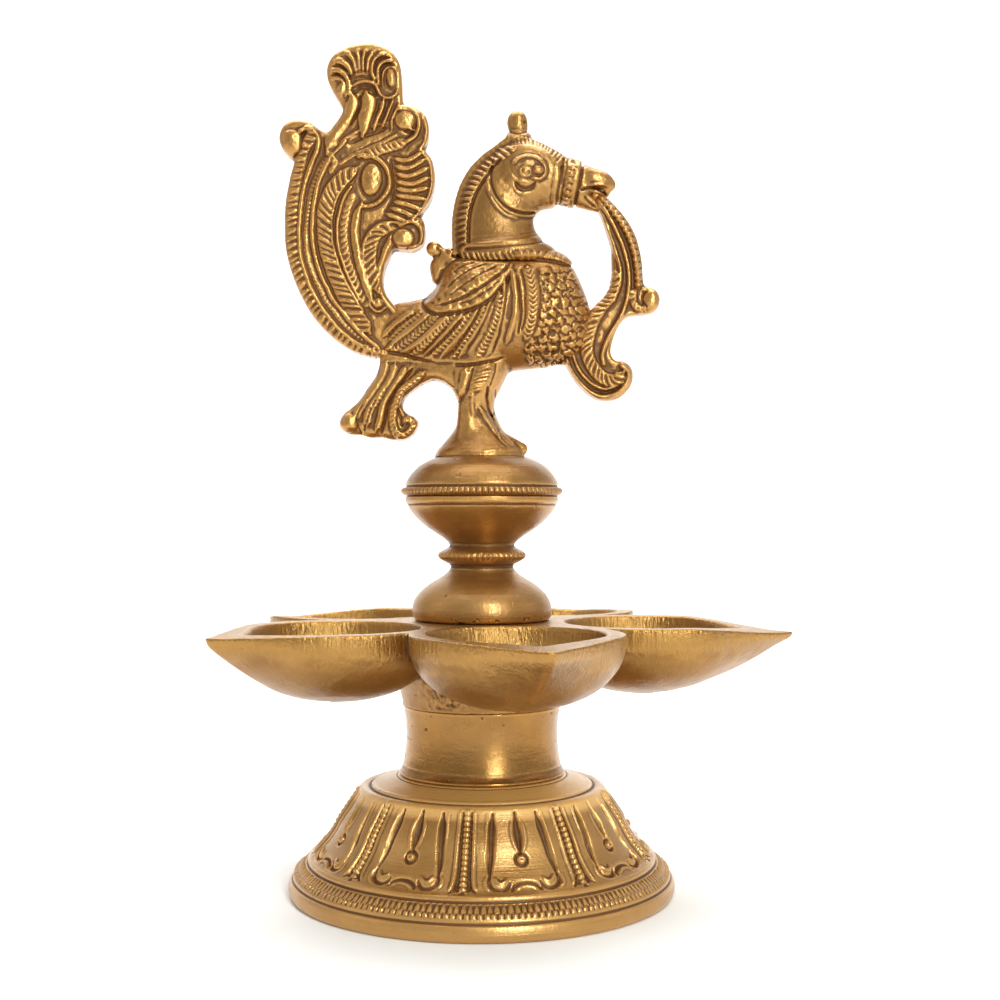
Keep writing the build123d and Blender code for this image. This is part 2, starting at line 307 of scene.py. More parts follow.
# --------------------------------------------------------------------------
# Clay: a signed distance field, built up and cut, then meshed
# --------------------------------------------------------------------------
class Clay:
    def __init__(self, lo, hi, h):
        self.h, self.lo = h, np.array(lo, float)
        n = [int(math.ceil((b - a) / h)) + 1 for a, b in zip(lo, hi)]
        self.x = lo[0] + h * np.arange(n[0])
        self.y = lo[1] + h * np.arange(n[1])
        self.z = lo[2] + h * np.arange(n[2])
        self.F = np.full(n, 9.0, np.float32)

    def window(self, lo, hi):
        s = []
        for axis, a, b in ((self.x, lo[0], hi[0]), (self.y, lo[1], hi[1]), (self.z, lo[2], hi[2])):
            i, j = np.searchsorted(axis, [a, b])
            s.append(slice(max(i - 1, 0), min(j + 1, len(axis))))
        return tuple(s), self.x[s[0]][:, None, None], self.y[s[1]][None, :, None], self.z[s[2]][None, None, :]

    def put(self, d, win, k, how="add"):
        cur = self.F[win]
        d = d.astype(np.float32)
        if how == "add":
            if k > 0:
                t = np.clip(0.5 + 0.5 * (cur - d) / k, 0, 1)
                cur[...] = cur * (1 - t) + d * t - k * t * (1 - t)
            else:
                np.minimum(cur, d, out=cur)
        else:  # cut
            d = -d
            if k > 0:
                t = np.clip(0.5 - 0.5 * (cur - d) / k, 0, 1)
                cur[...] = cur * (1 - t) + d * t + k * t * (1 - t)
            else:
                np.maximum(cur, d, out=cur)

    def ball(self, c, r, k=0.5, turn=0.0, how="add"):
        """An ellipsoid at c with radii r, turned about Y by turn degrees."""
        r = np.array([r] * 3 if np.isscalar(r) else r, float)
        m = r.max() + k + 0.6
        win, X, Y, Z = self.window(np.array(c) - m, np.array(c) + m)
        X, Y, Z = X - c[0], Y - c[1], Z - c[2]
        a, b = math.cos(math.radians(turn)), math.sin(math.radians(turn))
        X, Z = X * a + Z * b, -X * b + Z * a
        k0 = np.sqrt((X / r[0]) ** 2 + (Y / r[1]) ** 2 + (Z / r[2]) ** 2)
        k1 = np.sqrt((X / r[0] ** 2) ** 2 + (Y / r[1] ** 2) ** 2 + (Z / r[2] ** 2) ** 2)
        self.put(k0 * (k0 - 1) / np.maximum(k1, 1e-6), win, k, how)

    def limb(self, pts, k=0.5, flat=1.0, how="add", step=0.6):
        """A chain of rounded cones through (x, y, z, radius), squeezed by flat in Y."""
        p = smooth(pts, step)
        m = p[:, 3].max() + k + 0.6
        win, X, Y, Z = self.window(p[:, :3].min(0) - m, p[:, :3].max(0) + m)
        best = None
        for a, b in zip(p, p[1:]):
            ab = b[:3] - a[:3]
            ll = max(float(ab @ ab), 1e-9)
            px, py, pz = X - a[0], (Y - a[1]), Z - a[2]
            t = np.clip((px * ab[0] + py * ab[1] + pz * ab[2]) / ll, 0, 1)
            d = (
                np.sqrt(
                    (px - t * ab[0]) ** 2
                    + ((py - t * ab[1]) / flat) ** 2
                    + (pz - t * ab[2]) ** 2
                )
                - (a[3] + t * (b[3] - a[3]))
            )
            best = d if best is None else np.minimum(best, d)
        self.put(best, win, k, how)

    def column_x(self, keys, k=0.5):
        """A form with elliptic sections across X: keys of (x, z_top, z_bottom, half_y)."""
        q = np.array(sorted(keys), float)
        lo = (q[0, 0] - 0.8, -q[:, 3].max() - 2, q[:, 2].min() - 2)
        hi = (q[-1, 0] + 0.8, q[:, 3].max() + 2, q[:, 1].max() + 2)
        win, X, Y, Z = self.window(lo, hi)
        fine = smooth(q, 0.2)
        xs = X.ravel()
        top, bot, hy = (np.interp(xs, fine[:, 0], fine[:, i]) for i in (1, 2, 3))
        zc = ((top + bot) / 2)[:, None, None]
        hz = ((top - bot) / 2)[:, None, None]
        hy = hy[:, None, None]
        k0 = np.sqrt(((Z - zc) / hz) ** 2 + (Y / hy) ** 2)
        k1 = np.sqrt(((Z - zc) / hz**2) ** 2 + (Y / hy**2) ** 2)
        d = k0 * (k0 - 1) / np.maximum(k1, 1e-6)
        end = np.maximum(q[0, 0] - X, X - q[-1, 0]) + 0 * d
        self.put(np.maximum(d, end), win, k)

    def column_z(self, keys, k=0.5, y=0.0, cap=True):
        """A form with elliptic sections across Z: keys of (z, x0, x1, half_y)."""
        q = np.array(sorted(keys), float)
        lo = (q[:, 1].min() - 2, y - q[:, 3].max() - 2, q[0, 0] - 0.8)
        hi = (q[:, 2].max() + 2, y + q[:, 3].max() + 2, q[-1, 0] + 0.8)
        win, X, Y, Z = self.window(lo, hi)
        fine = smooth(q, 0.2)
        zs = Z.ravel()
        x0, x1, hy = (np.interp(zs, fine[:, 0], fine[:, i]) for i in (1, 2, 3))
        xc = ((x0 + x1) / 2)[None, None, :]
        hx = ((x1 - x0) / 2)[None, None, :]
        hy = hy[None, None, :]
        k0 = np.sqrt(((X - xc) / hx) ** 2 + ((Y - y) / hy) ** 2)
        k1 = np.sqrt(((X - xc) / hx**2) ** 2 + ((Y - y) / hy**2) ** 2)
        d = k0 * (k0 - 1) / np.maximum(k1, 1e-6)
        end = np.maximum(q[0, 0] - Z, Z - q[-1, 0]) + 0 * d
        self.put(np.maximum(d, end), win, k)

    def plate(self, outline, half, edge, k=0.4):
        """A flat casting with rounded edges: outline (x, z), half thickness (a number or a function of x, z), edge rounding."""
        p = np.asarray(outline, float)
        top = half if np.isscalar(half) else 6.0
        lo = (p[:, 0].min() - 1.5, -top - 1.5, p[:, 1].min() - 1.5)
        hi = (p[:, 0].max() + 1.5, top + 1.5, p[:, 1].max() + 1.5)
        win, X, Y, Z = self.window(lo, hi)
        XX, ZZ = np.meshgrid(X.ravel(), Z.ravel(), indexing="ij")
        s = polygon(XX, ZZ, p)[:, None, :]
        T = half if np.isscalar(half) else half(XX, ZZ)[:, None, :]
        a, b = s + edge, np.abs(Y) - T + edge
        d = (
            np.sqrt(np.maximum(a, 0) ** 2 + np.maximum(b, 0) ** 2)
            + np.minimum(np.maximum(a, b), 0)
            - edge
        )
        self.put(d, win, k)

    def emboss(self, relief):
        """Raises the surface by a relief drawn on the plane y = 0, as it looks from 325 mm in front of it."""
        XX, ZZ = np.meshgrid(self.x, self.z, indexing="ij")
        for j, y in enumerate(self.y):
            s = 324.93 / (324.93 - abs(float(y)))
            self.F[:, j, :] -= relief.at(XX * s, 84.62 + (ZZ - 84.62) * s).astype(np.float32)

    def mesh(self, name):
        """Vertices (mm) and quads of the surface."""
        grid = openvdb.FloatGrid(9.0)
        grid.copyFromArray(np.ascontiguousarray(self.F))
        points, quads = grid.convertToQuads(0.0)
        return points * self.h + self.lo, quads


# --------------------------------------------------------------------------
# Meshes
# --------------------------------------------------------------------------
def smooth_field(values, edges, n, rounds, keep=0.0):
    """Averages a per-vertex field over the neighbours, rounds times."""
    a, b = edges[:, 0], edges[:, 1]
    deg = np.bincount(a, minlength=n) + np.bincount(b, minlength=n)
    deg = np.maximum(deg, 1)
    v = values.astype(float)
    flat = v.ndim == 1
    v = v[:, None] if flat else v
    for _ in range(rounds):
        new = np.empty_like(v)
        for c in range(v.shape[1]):
            new[:, c] = (
                np.bincount(a, v[b, c], n) + np.bincount(b, v[a, c], n)
            ) / deg
        v = keep * v + (1 - keep) * new
    return v[:, 0] if flat else v


def piece(name, verts, quads, body, material, stands_for=(), recess_rounds=10, wide_rounds=60):
    """Makes a mesh piece from millimetres, with the recess fields its material reads."""
    verts = np.asarray(verts, float)
    quads = np.asarray(quads, np.int64)
    a, b, c, d = (verts[quads[:, i]] for i in range(4))
    volume = float(
        (np.einsum("ij,ij->i", a, np.cross(b, c)) + np.einsum("ij,ij->i", a, np.cross(c, d))).sum()
    )
    if volume < 0:
        quads = quads[:, ::-1].copy()
    me = bpy.data.meshes.new(name)
    me.vertices.add(len(verts))
    me.vertices.foreach_set("co", (verts / 1000).astype(np.float32).ravel())
    me.loops.add(quads.size)
    me.loops.foreach_set("vertex_index", quads.astype(np.int32).ravel())
    me.polygons.add(len(quads))
    me.polygons.foreach_set("loop_start", np.arange(0, quads.size, 4, dtype=np.int32))
    me.update(calc_edges=True)
    me.validate()
    me.polygons.foreach_set("use_smooth", np.ones(len(me.polygons), bool))
    n = len(me.vertices)
    e = np.empty(len(me.edges) * 2, np.int32)
    me.edges.foreach_get("vertices", e)
    e = e.reshape(-1, 2)
    nor = np.empty(n * 3, np.float32)
    me.vertices.foreach_get("normal", nor)
    nor = nor.reshape(-1, 3)
    fine = smooth_field(verts, e, n, recess_rounds)
    near = np.einsum("ij,ij->i", fine - verts, nor)
    # far: broad hollowness, which the brass materials darken as painted shade; near is the fine recess that holds dark
    # wax
    wide = smooth_field(fine, e, n, wide_rounds)
    far = np.einsum("ij,ij->i", wide - verts, nor)
    for key, val in (("recess", near), ("hollow", far)):
        at = me.attributes.new(key, "FLOAT", "POINT")
        at.data.foreach_set("value", val.astype(np.float32))
    obj = bpy.data.objects.new(name, me)
    bpy.context.scene.collection.objects.link(obj)
    me.materials.append(material)
    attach(obj, body)
    if stands_for:
        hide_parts(*stands_for)
    return obj


VOX = 0.235


# --------------------------------------------------------------------------
# Tail fan
# --------------------------------------------------------------------------
TAIL = smooth(
    sk(
        [
            (404, 318), (398, 340), (390, 357), (376, 357.5), (362, 354.7), (349, 349.5), (330, 335.5),
            (314, 318), (301.5, 295.7), (292, 271.7), (286.5, 248), (285.5, 219.4), (287.4, 198.4),
            (291.2, 178), (294.6, 163), (287, 156), (281.3, 147), (280, 138), (284, 128), (292, 122.6), (301, 121.6),
            (311, 124), (319, 130), (328, 134), (335, 127), (341, 118), (343, 110.5), (338, 101), (330.5, 88),
            (327.3, 78), (328, 67), (333.5, 57.5), (343, 51), (355, 46.5), (370, 45), (383, 48), (393.5, 54.5),
            (400.5, 66), (402.7, 82), (403.6, 101), (406, 106.8), (415, 108.5), (424, 115), (429, 126), (428.6, 140),
            (425.5, 150.5), (431, 159), (435, 172), (435.2, 186), (431, 201.2), (422, 215), (425, 224), (426.2, 234), (423.5, 244), (414.7, 250.5),
            (404, 252), (394.5, 251), (390, 260), (385, 271), (383.2, 284), (386.5, 296), (394, 306),
        ]
    ),
    0.6,
    closed=True,
)


def tail_relief():
    R = Relief(-47, -9, 117.5, 191.5, 0.11)
    s = R.inside(TAIL)
    px = 1 / U
    # ground, sunk between the ridges, and a rounded rim
    R.D[:] = -0.34
    R.D += 0.26 * np.exp(-((s + 0.75) ** 2) / (2 * 0.55**2))
    # ribbed band down the outer edge
    band = sk([(313, 133), (309, 141), (304, 150), (301, 161), (298, 172), (294.5, 187), (292, 204), (291, 225), (292, 248),
               (297, 270), (306, 293), (319, 315), (335, 332), (352, 344.5), (368, 351.5), (384, 356)])
    R.stroke(band, 12.0 * px, ribs(0.66, 6.8 * px, low=0.12, slant=0.25, sharp=1.0, edge=0.5), "max")
    # smooth ridge inside it, round the curl's right side
    R.stroke(sk([(300, 131), (308, 128), (315, 131), (318, 140), (317, 150), (312.5, 161), (307.5, 174), (303, 192), (300, 212), (299, 232),
                 (299.5, 250), (303.5, 268), (313, 292), (326, 314), (342, 332), (356, 343), (374, 352), (388, 357)]),
             5.6 * px, ridge(0.62, 0.7))
    R.blob(sk([(291.5, 141.5)])[0], 11.3 * px, 12.8 * px, 0.85, turn=10, power=0.6)
    R.stroke(sk([(305, 130), (302, 139), (300, 149), (294, 157)]), 2.6 * px, groove(0.5), "add")
    # fine beads in the next trough
    fine = sk([(334, 151), (326, 160), (319, 171), (313.5, 185), (309.5, 203), (306.8, 225), (306, 245), (309, 262), (317, 283),
               (328, 303), (341, 320), (356, 335), (370, 346)])
    R.stroke(fine, 7.0 * px, lambda q, s, side, d, run: -0.22 + 0.10 * (1 - q**2), "max")
    R.stroke(fine, 5.2 * px, beads(0.26, 4.3 * px, 1.9 * px), "add")
    # second smooth ridge
    R.stroke(sk([(345, 140), (336, 152), (327, 163), (320, 178), (315.5, 195), (313, 215), (312.5, 236), (315, 255), (322, 277), (333, 299),
                 (346, 316), (360, 332), (378, 348)]), 5.2 * px, ridge(0.52, 0.8))
    # broad ribbed leaf
    leaf = sk([(358, 168), (349, 172), (340, 180), (332, 190), (326.5, 202), (324, 218), (324.5, 234), (327.5, 252), (333, 270),
               (340, 287), (348, 302), (358, 317), (370, 333)])
    R.stroke(leaf, 15.0 * px, ribs(0.66, 7.2 * px, low=0.14, slant=-0.75, sharp=1.0, edge=0.5), "max", taper=(3.5, 2.0))
    R.stroke(sk([(364, 166), (352, 177), (344, 186), (337, 197), (333, 210), (331.6, 226), (333, 243), (338, 262), (345, 280), (354, 297), (363, 311)]),
             3.4 * px, ridge(0.58, 0.8))
    # beaded trough and ridge inside
    inner = sk([(352, 197), (347, 209), (344, 224), (344, 240), (347, 257), (352, 274), (358, 289), (366, 304)])
    R.stroke(inner, 8.5 * px, lambda q, s, side, d, run: -0.12 + 0.12 * (1 - q**2), "max")
    R.stroke(inner, 8.5 * px, ribs(0.32, 6.2 * px, low=0.0, slant=0.7, sharp=1.4), "add")
    R.stroke(sk([(351, 186), (344, 197), (339.5, 211), (337, 227), (338, 244), (343, 262), (350, 281), (359, 299)]),
             3.6 * px, ridge(0.50, 0.8))
    # smooth spindle leaf
    R.stroke(sk([(362, 202), (357, 214), (355, 228), (355.5, 243), (358.5, 259), (363, 275), (368, 291), (374, 304)]),
             9.5 * px, ridge(0.72, 0.7), taper=(3.5, 3.0))
    # ribbed inner scroll below the shell
    scroll = sk([(395, 229), (387, 228), (379, 231), (373, 239), (370, 251), (370, 265), (373, 279), (378, 292)])
    R.stroke(scroll, 13.5 * px, ribs(0.60, 6.8 * px, low=0.12, slant=0.8, sharp=1.0, edge=0.5), "max", taper=(2.0, 2.5))
    R.stroke(sk([(402, 224), (392, 222), (380, 224), (370, 231), (364, 243), (363, 258), (366, 274), (371, 289)]),
             3.6 * px, ridge(0.54, 0.8))
    R.stroke(sk([(394, 236), (388, 246), (383.5, 258), (380.5, 271), (381, 285), (386, 298), (394, 309)]),
             8.0 * px, ridge(0.40, 0.8))
    # egg in its ring
    R.blob(sk([(371, 180.5)])[0], 15 * px, 23 * px, -0.38, how="set", power=0.2)
    ring = sk([(359, 156), (368, 155), (378, 158.5), (386, 166), (389.5, 177), (388, 189), (381.5, 199), (372, 205), (361, 206)])
    R.stroke(ring, 5.6 * px, ridge(0.62, 0.8))
    R.stroke(ring[4:], 4.6 * px, ribs(0.16, 5.5 * px, low=-0.9), "add")
    R.blob(sk([(371.5, 179.0)])[0], 10.6 * px, 16.5 * px, 1.05, turn=-6, power=0.62)
    # shell fan on the right
    shell = [
        [(394, 158), (406, 160), (421, 152.5)], [(395, 165.5), (408, 167.5), (425, 159)], [(396, 173), (410, 175.5), (428, 167.5)],
        [(396, 180.5), (411, 183.5), (429, 177)], [(396, 188), (410, 190.5), (428, 187.5)], [(395, 195), (408, 197), (426, 198.5)],
        [(393, 201.5), (406, 204), (421, 209)], [(390, 208), (402, 211), (415, 217.5)], [(386, 213.5), (397, 217.5), (407, 222.5)],
    ]
    for r in shell:
        R.stroke(sk(r), 5.6 * px, ridge(0.50, 0.7), taper=(0.9, 0.6))
    R.stroke(sk([(423, 152), (429.5, 160), (432.3, 172), (432, 186), (428, 199), (420, 211), (412, 219)]),
             4.6 * px, ridge(0.66, 0.8))
    R.stroke(sk([(391, 160), (392.5, 172), (393, 186), (391, 199), (385, 211)]), 3.0 * px, groove(0.35), "add")
    # band of short ribs that curls up round the upper ball
    R.stroke(sk([(360, 157), (371, 152.8), (384, 148.5), (396, 144.6), (406, 140)]),
             10.5 * px, ribs(0.50, 5.6 * px, low=0.15, slant=0.4, sharp=0.8), "max", taper=(1.4, 0.8))
    R.stroke(sk([(424.5, 117), (427, 128), (425.5, 141), (420, 149)]), 4.0 * px, ridge(0.30, 0.8))
    R.blob(sk([(405, 120)])[0], 13.5 * px, 13 * px, -0.34, how="set", power=0.2)
    R.blob(sk([(405, 119)])[0], 10.6 * px, 10.2 * px, 0.95, power=0.6)
    R.stroke(sk([(398, 107.5), (406, 106.6), (413.5, 110), (418, 117), (418.2, 126.5), (414.5, 135), (406, 141)]), 5.2 * px, ridge(0.76, 0.8))
    R.stroke(sk([(417, 127), (413.6, 129.6), (409.5, 127.6)]), 3.0 * px, ridge(0.66, 0.8))
    R.stroke(sk([(404.5, 131), (411, 132.6), (415, 128)]), 2.4 * px, groove(0.50), "add")
    # smooth hollow slot under the crown
    R.stroke(sk([(336, 160), (348, 149.5), (362, 141), (377, 134.5), (386, 129)]), 11 * px,
             lambda q, s, side, d, run: -0.30 + 0.22 * q**2, "set")
    R.stroke(sk([(349, 143.5), (358, 138.5), (368, 134.6), (377, 131.4), (386, 127.5)]), 6.4 * px, groove(0.62), "add", taper=(1.2, 0.8))
    R.stroke(sk([(341, 163), (354, 154.5), (368, 148), (383, 141.5), (396, 134.5)]), 3.6 * px, ridge(0.18, 0.8))
    R.stroke(sk([(331, 149), (343, 139.5), (357, 131), (371, 125.5), (388, 122)]), 2.6 * px, ridge(0.08, 0.8))
    R.stroke(sk([(328, 152), (332, 157), (335, 163), (331, 170)]), 6 * px, ribs(0.30, 4.5 * px, low=0.1, slant=0.5), "max")
    # crown: swirling flutes over two eyes, a bar, and leaves below it
    R.blob(sk([(339, 86)])[0], 8.0 * px, 11.0 * px, -0.10, how="set", power=0.2)
    R.stroke(sk([(329, 79), (335, 77.5), (341.5, 80), (345.5, 87), (345.5, 96)]), 4.2 * px, ridge(0.34, 0.8), taper=(0.8, 0.8))
    R.stroke(sk([(330, 70), (337.5, 69.5), (344.5, 74), (348.3, 82), (348.3, 94)]), 6.4 * px, ridge(0.52, 0.8), taper=(0.8, 0.8))
    R.stroke(sk([(333.5, 60), (341, 60.5), (348, 66), (351.5, 74)]), 7.4 * px, ridge(0.56, 0.8), taper=(0.8, 0.6))
    R.stroke(sk([(344, 51.5), (350, 55), (354.6, 62), (355.8, 71)]), 6.2 * px, ridge(0.52, 0.8), taper=(0.8, 0.6))
    R.stroke(sk([(356.5, 48.5), (358.4, 57), (359.4, 70)]), 5.0 * px, ridge(0.44, 0.8), taper=(0.8, 0.6))
    R.stroke(sk([(365, 49), (362.9, 59), (363.2, 71)]), 3.8 * px, ridge(0.52, 0.8), taper=(0.6, 0.6))
    R.stroke(sk([(373.5, 50.5), (368.4, 59), (367.6, 71)]), 4.6 * px, ridge(0.46, 0.8), taper=(0.6, 0.6))
    R.stroke(sk([(386, 53), (378.5, 54), (373, 60), (371.8, 69), (374, 80)]), 4.6 * px, ridge(0.66, 0.8), taper=(0.5, 0.6))
    R.stroke(sk([(392.5, 60.5), (385, 60.2), (379, 65), (377.2, 73), (378.6, 84)]), 4.6 * px, ridge(0.66, 0.8), taper=(0.5, 0.6))
    R.stroke(sk([(396.5, 70), (391, 65.8), (385, 68.5), (382, 76), (383, 87)]), 3.0 * px, ridge(0.40, 0.8), taper=(0.5, 0.6))
    for r, w, g in [
        ([(330.5, 65.5), (339.8, 65.2), (347.6, 71.5), (350.6, 81)], 2.2, 0.46), ([(329.5, 75.5), (337, 74), (343.3, 79), (346.2, 87)], 2.0, 0.42),
        ([(338, 55.5), (346, 59.2), (351.6, 66), (353.6, 73.5)], 2.2, 0.44), ([(350.5, 50.5), (355, 58), (357.2, 69)], 2.0, 0.38),
        ([(361, 49.5), (360.8, 61), (361.4, 71)], 1.8, 0.34), ([(369.3, 50), (365.5, 60), (365.2, 71.5)], 1.9, 0.42),
        ([(379, 51.5), (371.4, 59.2), (369.6, 71)], 2.2, 0.46), ([(389.5, 57), (380.8, 58), (375.4, 65), (374.8, 76)], 2.4, 0.56),
        ([(394, 65), (386, 64.6), (380.6, 71), (380.4, 82)], 2.4, 0.56),
    ]:
        R.stroke(sk(r), w * px, groove(g), "add", taper=(0.6, 0.6))
    R.blob(sk([(341.5, 88)])[0], 4.6 * px, 7.2 * px, 0.50, turn=-20, power=0.6)
    R.blob(sk([(390.5, 79.5)])[0], 7.4 * px, 12.5 * px, -0.40, how="set", power=0.2)
    R.blob(sk([(391, 77.5)])[0], 4.8 * px, 9.6 * px, 0.74, turn=8, power=0.6)
    R.stroke(sk([(376.5, 86), (381, 94), (387.5, 97.4), (394.5, 95), (398, 89)]), 3.2 * px, ridge(0.52, 0.8), taper=(0.6, 0.6))
    R.stroke(sk([(350, 76.8), (358, 75.8), (366, 75.6), (373, 78.6)]), 3.2 * px, groove(0.36), "add", taper=(0.8, 0.8))
    R.stroke(sk([(351, 86), (357.5, 82), (366.5, 80.3), (374.5, 83.4), (380, 92.5)]), 4.0 * px, ridge(0.58, 0.8), taper=(0.8, 0.5))
    R.stroke(sk([(353, 93.5), (359, 88), (367, 86.8), (373, 89.5), (376.5, 95)]), 4.2 * px, groove(0.58), "add", taper=(0.8, 0.8))
    R.stroke(sk([(366, 92), (368, 102), (366.5, 113), (364.5, 124), (362, 136)]), 16.0 * px, ridge(0.58, 0.6), taper=(1.5, 4.0))
    R.stroke(sk([(351, 93), (352.6, 104), (346.5, 117), (338, 129), (331, 140), (327, 149)]), 13.0 * px, ridge(0.44, 0.6), taper=(2.0, 1.6))
    R.stroke(sk([(359.8, 95), (360.4, 104), (356.8, 114), (350.5, 125)]), 3.4 * px, groove(0.85), "add", taper=(0.6, 2.0))
    R.stroke(sk([(378.5, 97), (377, 107), (372, 119.5), (368.4, 131)]), 2.4 * px, groove(0.62), "add", taper=(0.6, 1.0))
    R.stroke(sk([(384, 98), (381.5, 108), (377, 119), (373.5, 131)]), 4.6 * px, ridge(0.50, 0.7), taper=(0.8, 1.0))
    R.stroke(sk([(388.4, 99), (385.2, 109), (380.8, 120), (378, 130)]), 2.0 * px, groove(0.40), "add", taper=(0.6, 0.8))
    R.stroke(sk([(393.5, 98.5), (389.4, 108), (385.4, 118), (382, 128)]), 3.6 * px, ridge(0.62, 0.7), taper=(0.6, 1.0))
    R.stroke(sk([(399.5, 103), (395, 111), (391.4, 120), (391.6, 131)]), 3.4 * px, ridge(0.44, 0.7), taper=(0.6, 1.0))
    # lower right ball and its ridge
    R.blob(sk([(404, 238)])[0], 13 * px, 12.5 * px, -0.30, how="set", power=0.2)
    R.blob(sk([(403.5, 238)])[0], 10.8 * px, 10.2 * px, 0.95, power=0.6)
    R.stroke(sk([(400, 224.5), (411, 221.5), (419.5, 226), (422.5, 236), (419, 245), (411, 248.5)]), 5.2 * px, ridge(0.66, 0.8))
    R.stroke(sk([(409, 217), (416, 219), (422, 225)]), 5.0 * px, ribs(0.35, 4.5 * px, low=0.2), "max")
    # small curl where the strands meet the body
    R.blob(sk([(378, 303)])[0], 5.2 * px, 5.2 * px, 0.50, power=0.6)
    R.stroke(sk([(369, 296), (371, 307), (378, 312), (385, 308)]), 3.2 * px, ridge(0.42, 0.8))
    # soft strokes of the chasing tool
    R.D = R.blur(0.09)
    R.by_hand(201)
    edge = np.clip(-s / 0.9, 0, 1)
    R.D *= 0.35 + 0.65 * edge
    return R


def build_tail(material):
    clay = Clay((-46.9, -5.2, 117.6), (-9.4, 5.2, 191.2), VOX)
    clay.plate(TAIL, 3.25, 1.5, 0.0)
    relief = tail_relief()
    clay.emboss(relief)
    v, q = clay.mesh("tail")
    bump = 0.035 * value_noise(v[:, 0], v[:, 1], v[:, 2], 1.7, 3)
    v[:, 1] += np.sign(v[:, 1]) * bump
    return piece("tail_fan_casting", v, q, "finial", material, ("tail_fan",))


# --------------------------------------------------------------------------
# Garland held in the beak
# --------------------------------------------------------------------------
GARLAND = smooth(
    sk(
        [
            (590, 196), (597, 192), (607, 197.5), (619, 209.4), (629, 222.6), (637.2, 239.2), (642.2, 262), (644, 284),
            (649, 286.5), (656.5, 291), (660, 299.5), (657.5, 309), (650, 314), (639, 315.5), (627, 317.6), (619, 327), (613, 341), (611, 353),
            (615, 360), (623, 361), (631, 367), (633.2, 377), (629.5, 389), (618.5, 399), (604, 401.7), (591, 396.5),
            (579, 385), (569, 370), (562, 352), (572, 326), (588, 311.5), (602, 300), (610, 287), (612.5, 270.7), (610.7, 246),
            (604.5, 223), (597, 205),
        ]
    ),
    0.5,
    closed=True,
)


def build_garland(material):
    px = 1 / U
    R = Relief(17, 42, 107.5, 159, 0.11)
    s = R.inside(GARLAND)
    R.D[:] = -0.42
    R.D += 0.40 * np.exp(-((s + 0.55) ** 2) / (2 * 0.42**2))
    # beads down the outer edge
    bead_line = sk([(600.5, 196), (611, 207), (621, 220), (629, 235), (634.8, 252.5), (637.8, 270), (638.6, 287)])
    R.stroke(bead_line, 8.6 * px, lambda q, s, side, d, run: -0.30 + 0 * q, "set")
    R.stroke(bead_line, 8.2 * px, beads(1.35, 6.5 * px, 3.9 * px), "add")
    R.stroke(sk([(598, 200), (608, 213), (616.5, 229), (623.5, 246), (628, 263), (629.5, 280), (627, 300), (620, 318), (609, 336), (603, 352), (604, 364)]),
             4.6 * px, ridge(0.60, 0.8))
    R.stroke(sk([(596, 202), (603, 218), (610.5, 236), (616.5, 253), (620.5, 268), (620, 284), (614, 300)]),
             4.2 * px, ridge(0.50, 0.8))
    R.stroke(sk([(593, 205), (601.5, 224), (608, 244), (611.5, 262), (612, 276)]), 3.6 * px, ridge(0.44, 0.8))
    # ribbed leaf that swings down to the lower curl
    R.stroke(sk([(616, 271), (615, 284), (609, 297), (600, 309), (592, 324), (588, 340), (588, 354), (594, 368), (604, 378), (616, 380), (624, 372)]),
             13.5 * px, ribs(0.66, 6.0 * px, low=0.15, slant=0.7, sharp=0.8, edge=0.5), "max", taper=(1.2, 1.2))
    # border of the lower curl
    R.stroke(sk([(566, 360), (574, 375), (585, 388), (597, 396), (609, 396.5), (620, 391), (627.5, 381), (628.5, 371), (622, 365.5)]),
             5.6 * px, ridge(0.70, 0.8))
    R.stroke(sk([(573, 354), (579, 369), (590, 382), (603, 388.5), (614, 387)]), 3.4 * px, ridge(0.45, 0.8))
    R.stroke(sk([(570, 364), (580, 379), (592, 389.5), (606, 392.5), (617, 388)]), 2.0 * px, groove(0.4), "add")
    # side curl ball with its ribs
    R.blob(sk([(651.5, 300)])[0], 8.2 * px, 11 * px, 0.80, turn=-15, power=0.6)
    R.stroke(sk([(634, 292), (634, 301), (639, 308), (647, 309.5)]), 7.5 * px, ribs(0.45, 4.6 * px, low=0.1, slant=0.4), "max")
    R.stroke(sk([(644, 291), (643, 300), (647, 306)]), 2.4 * px, groove(0.5), "add")
    R.D = R.blur(0.09)
    R.by_hand(211, 0.08)
    R.D *= 0.45 + 0.55 * np.clip(-s / 0.45, 0, 1)
    clay = Clay((17.0, -4.6, 108.2), (41.6, 4.6, 158.2), VOX)
    clay.plate(GARLAND, 2.55, 1.5, 0.0)
    clay.emboss(R)
    v, q = clay.mesh("garland")
    return piece("garland_casting", v, q, "finial", material, ("garland",))


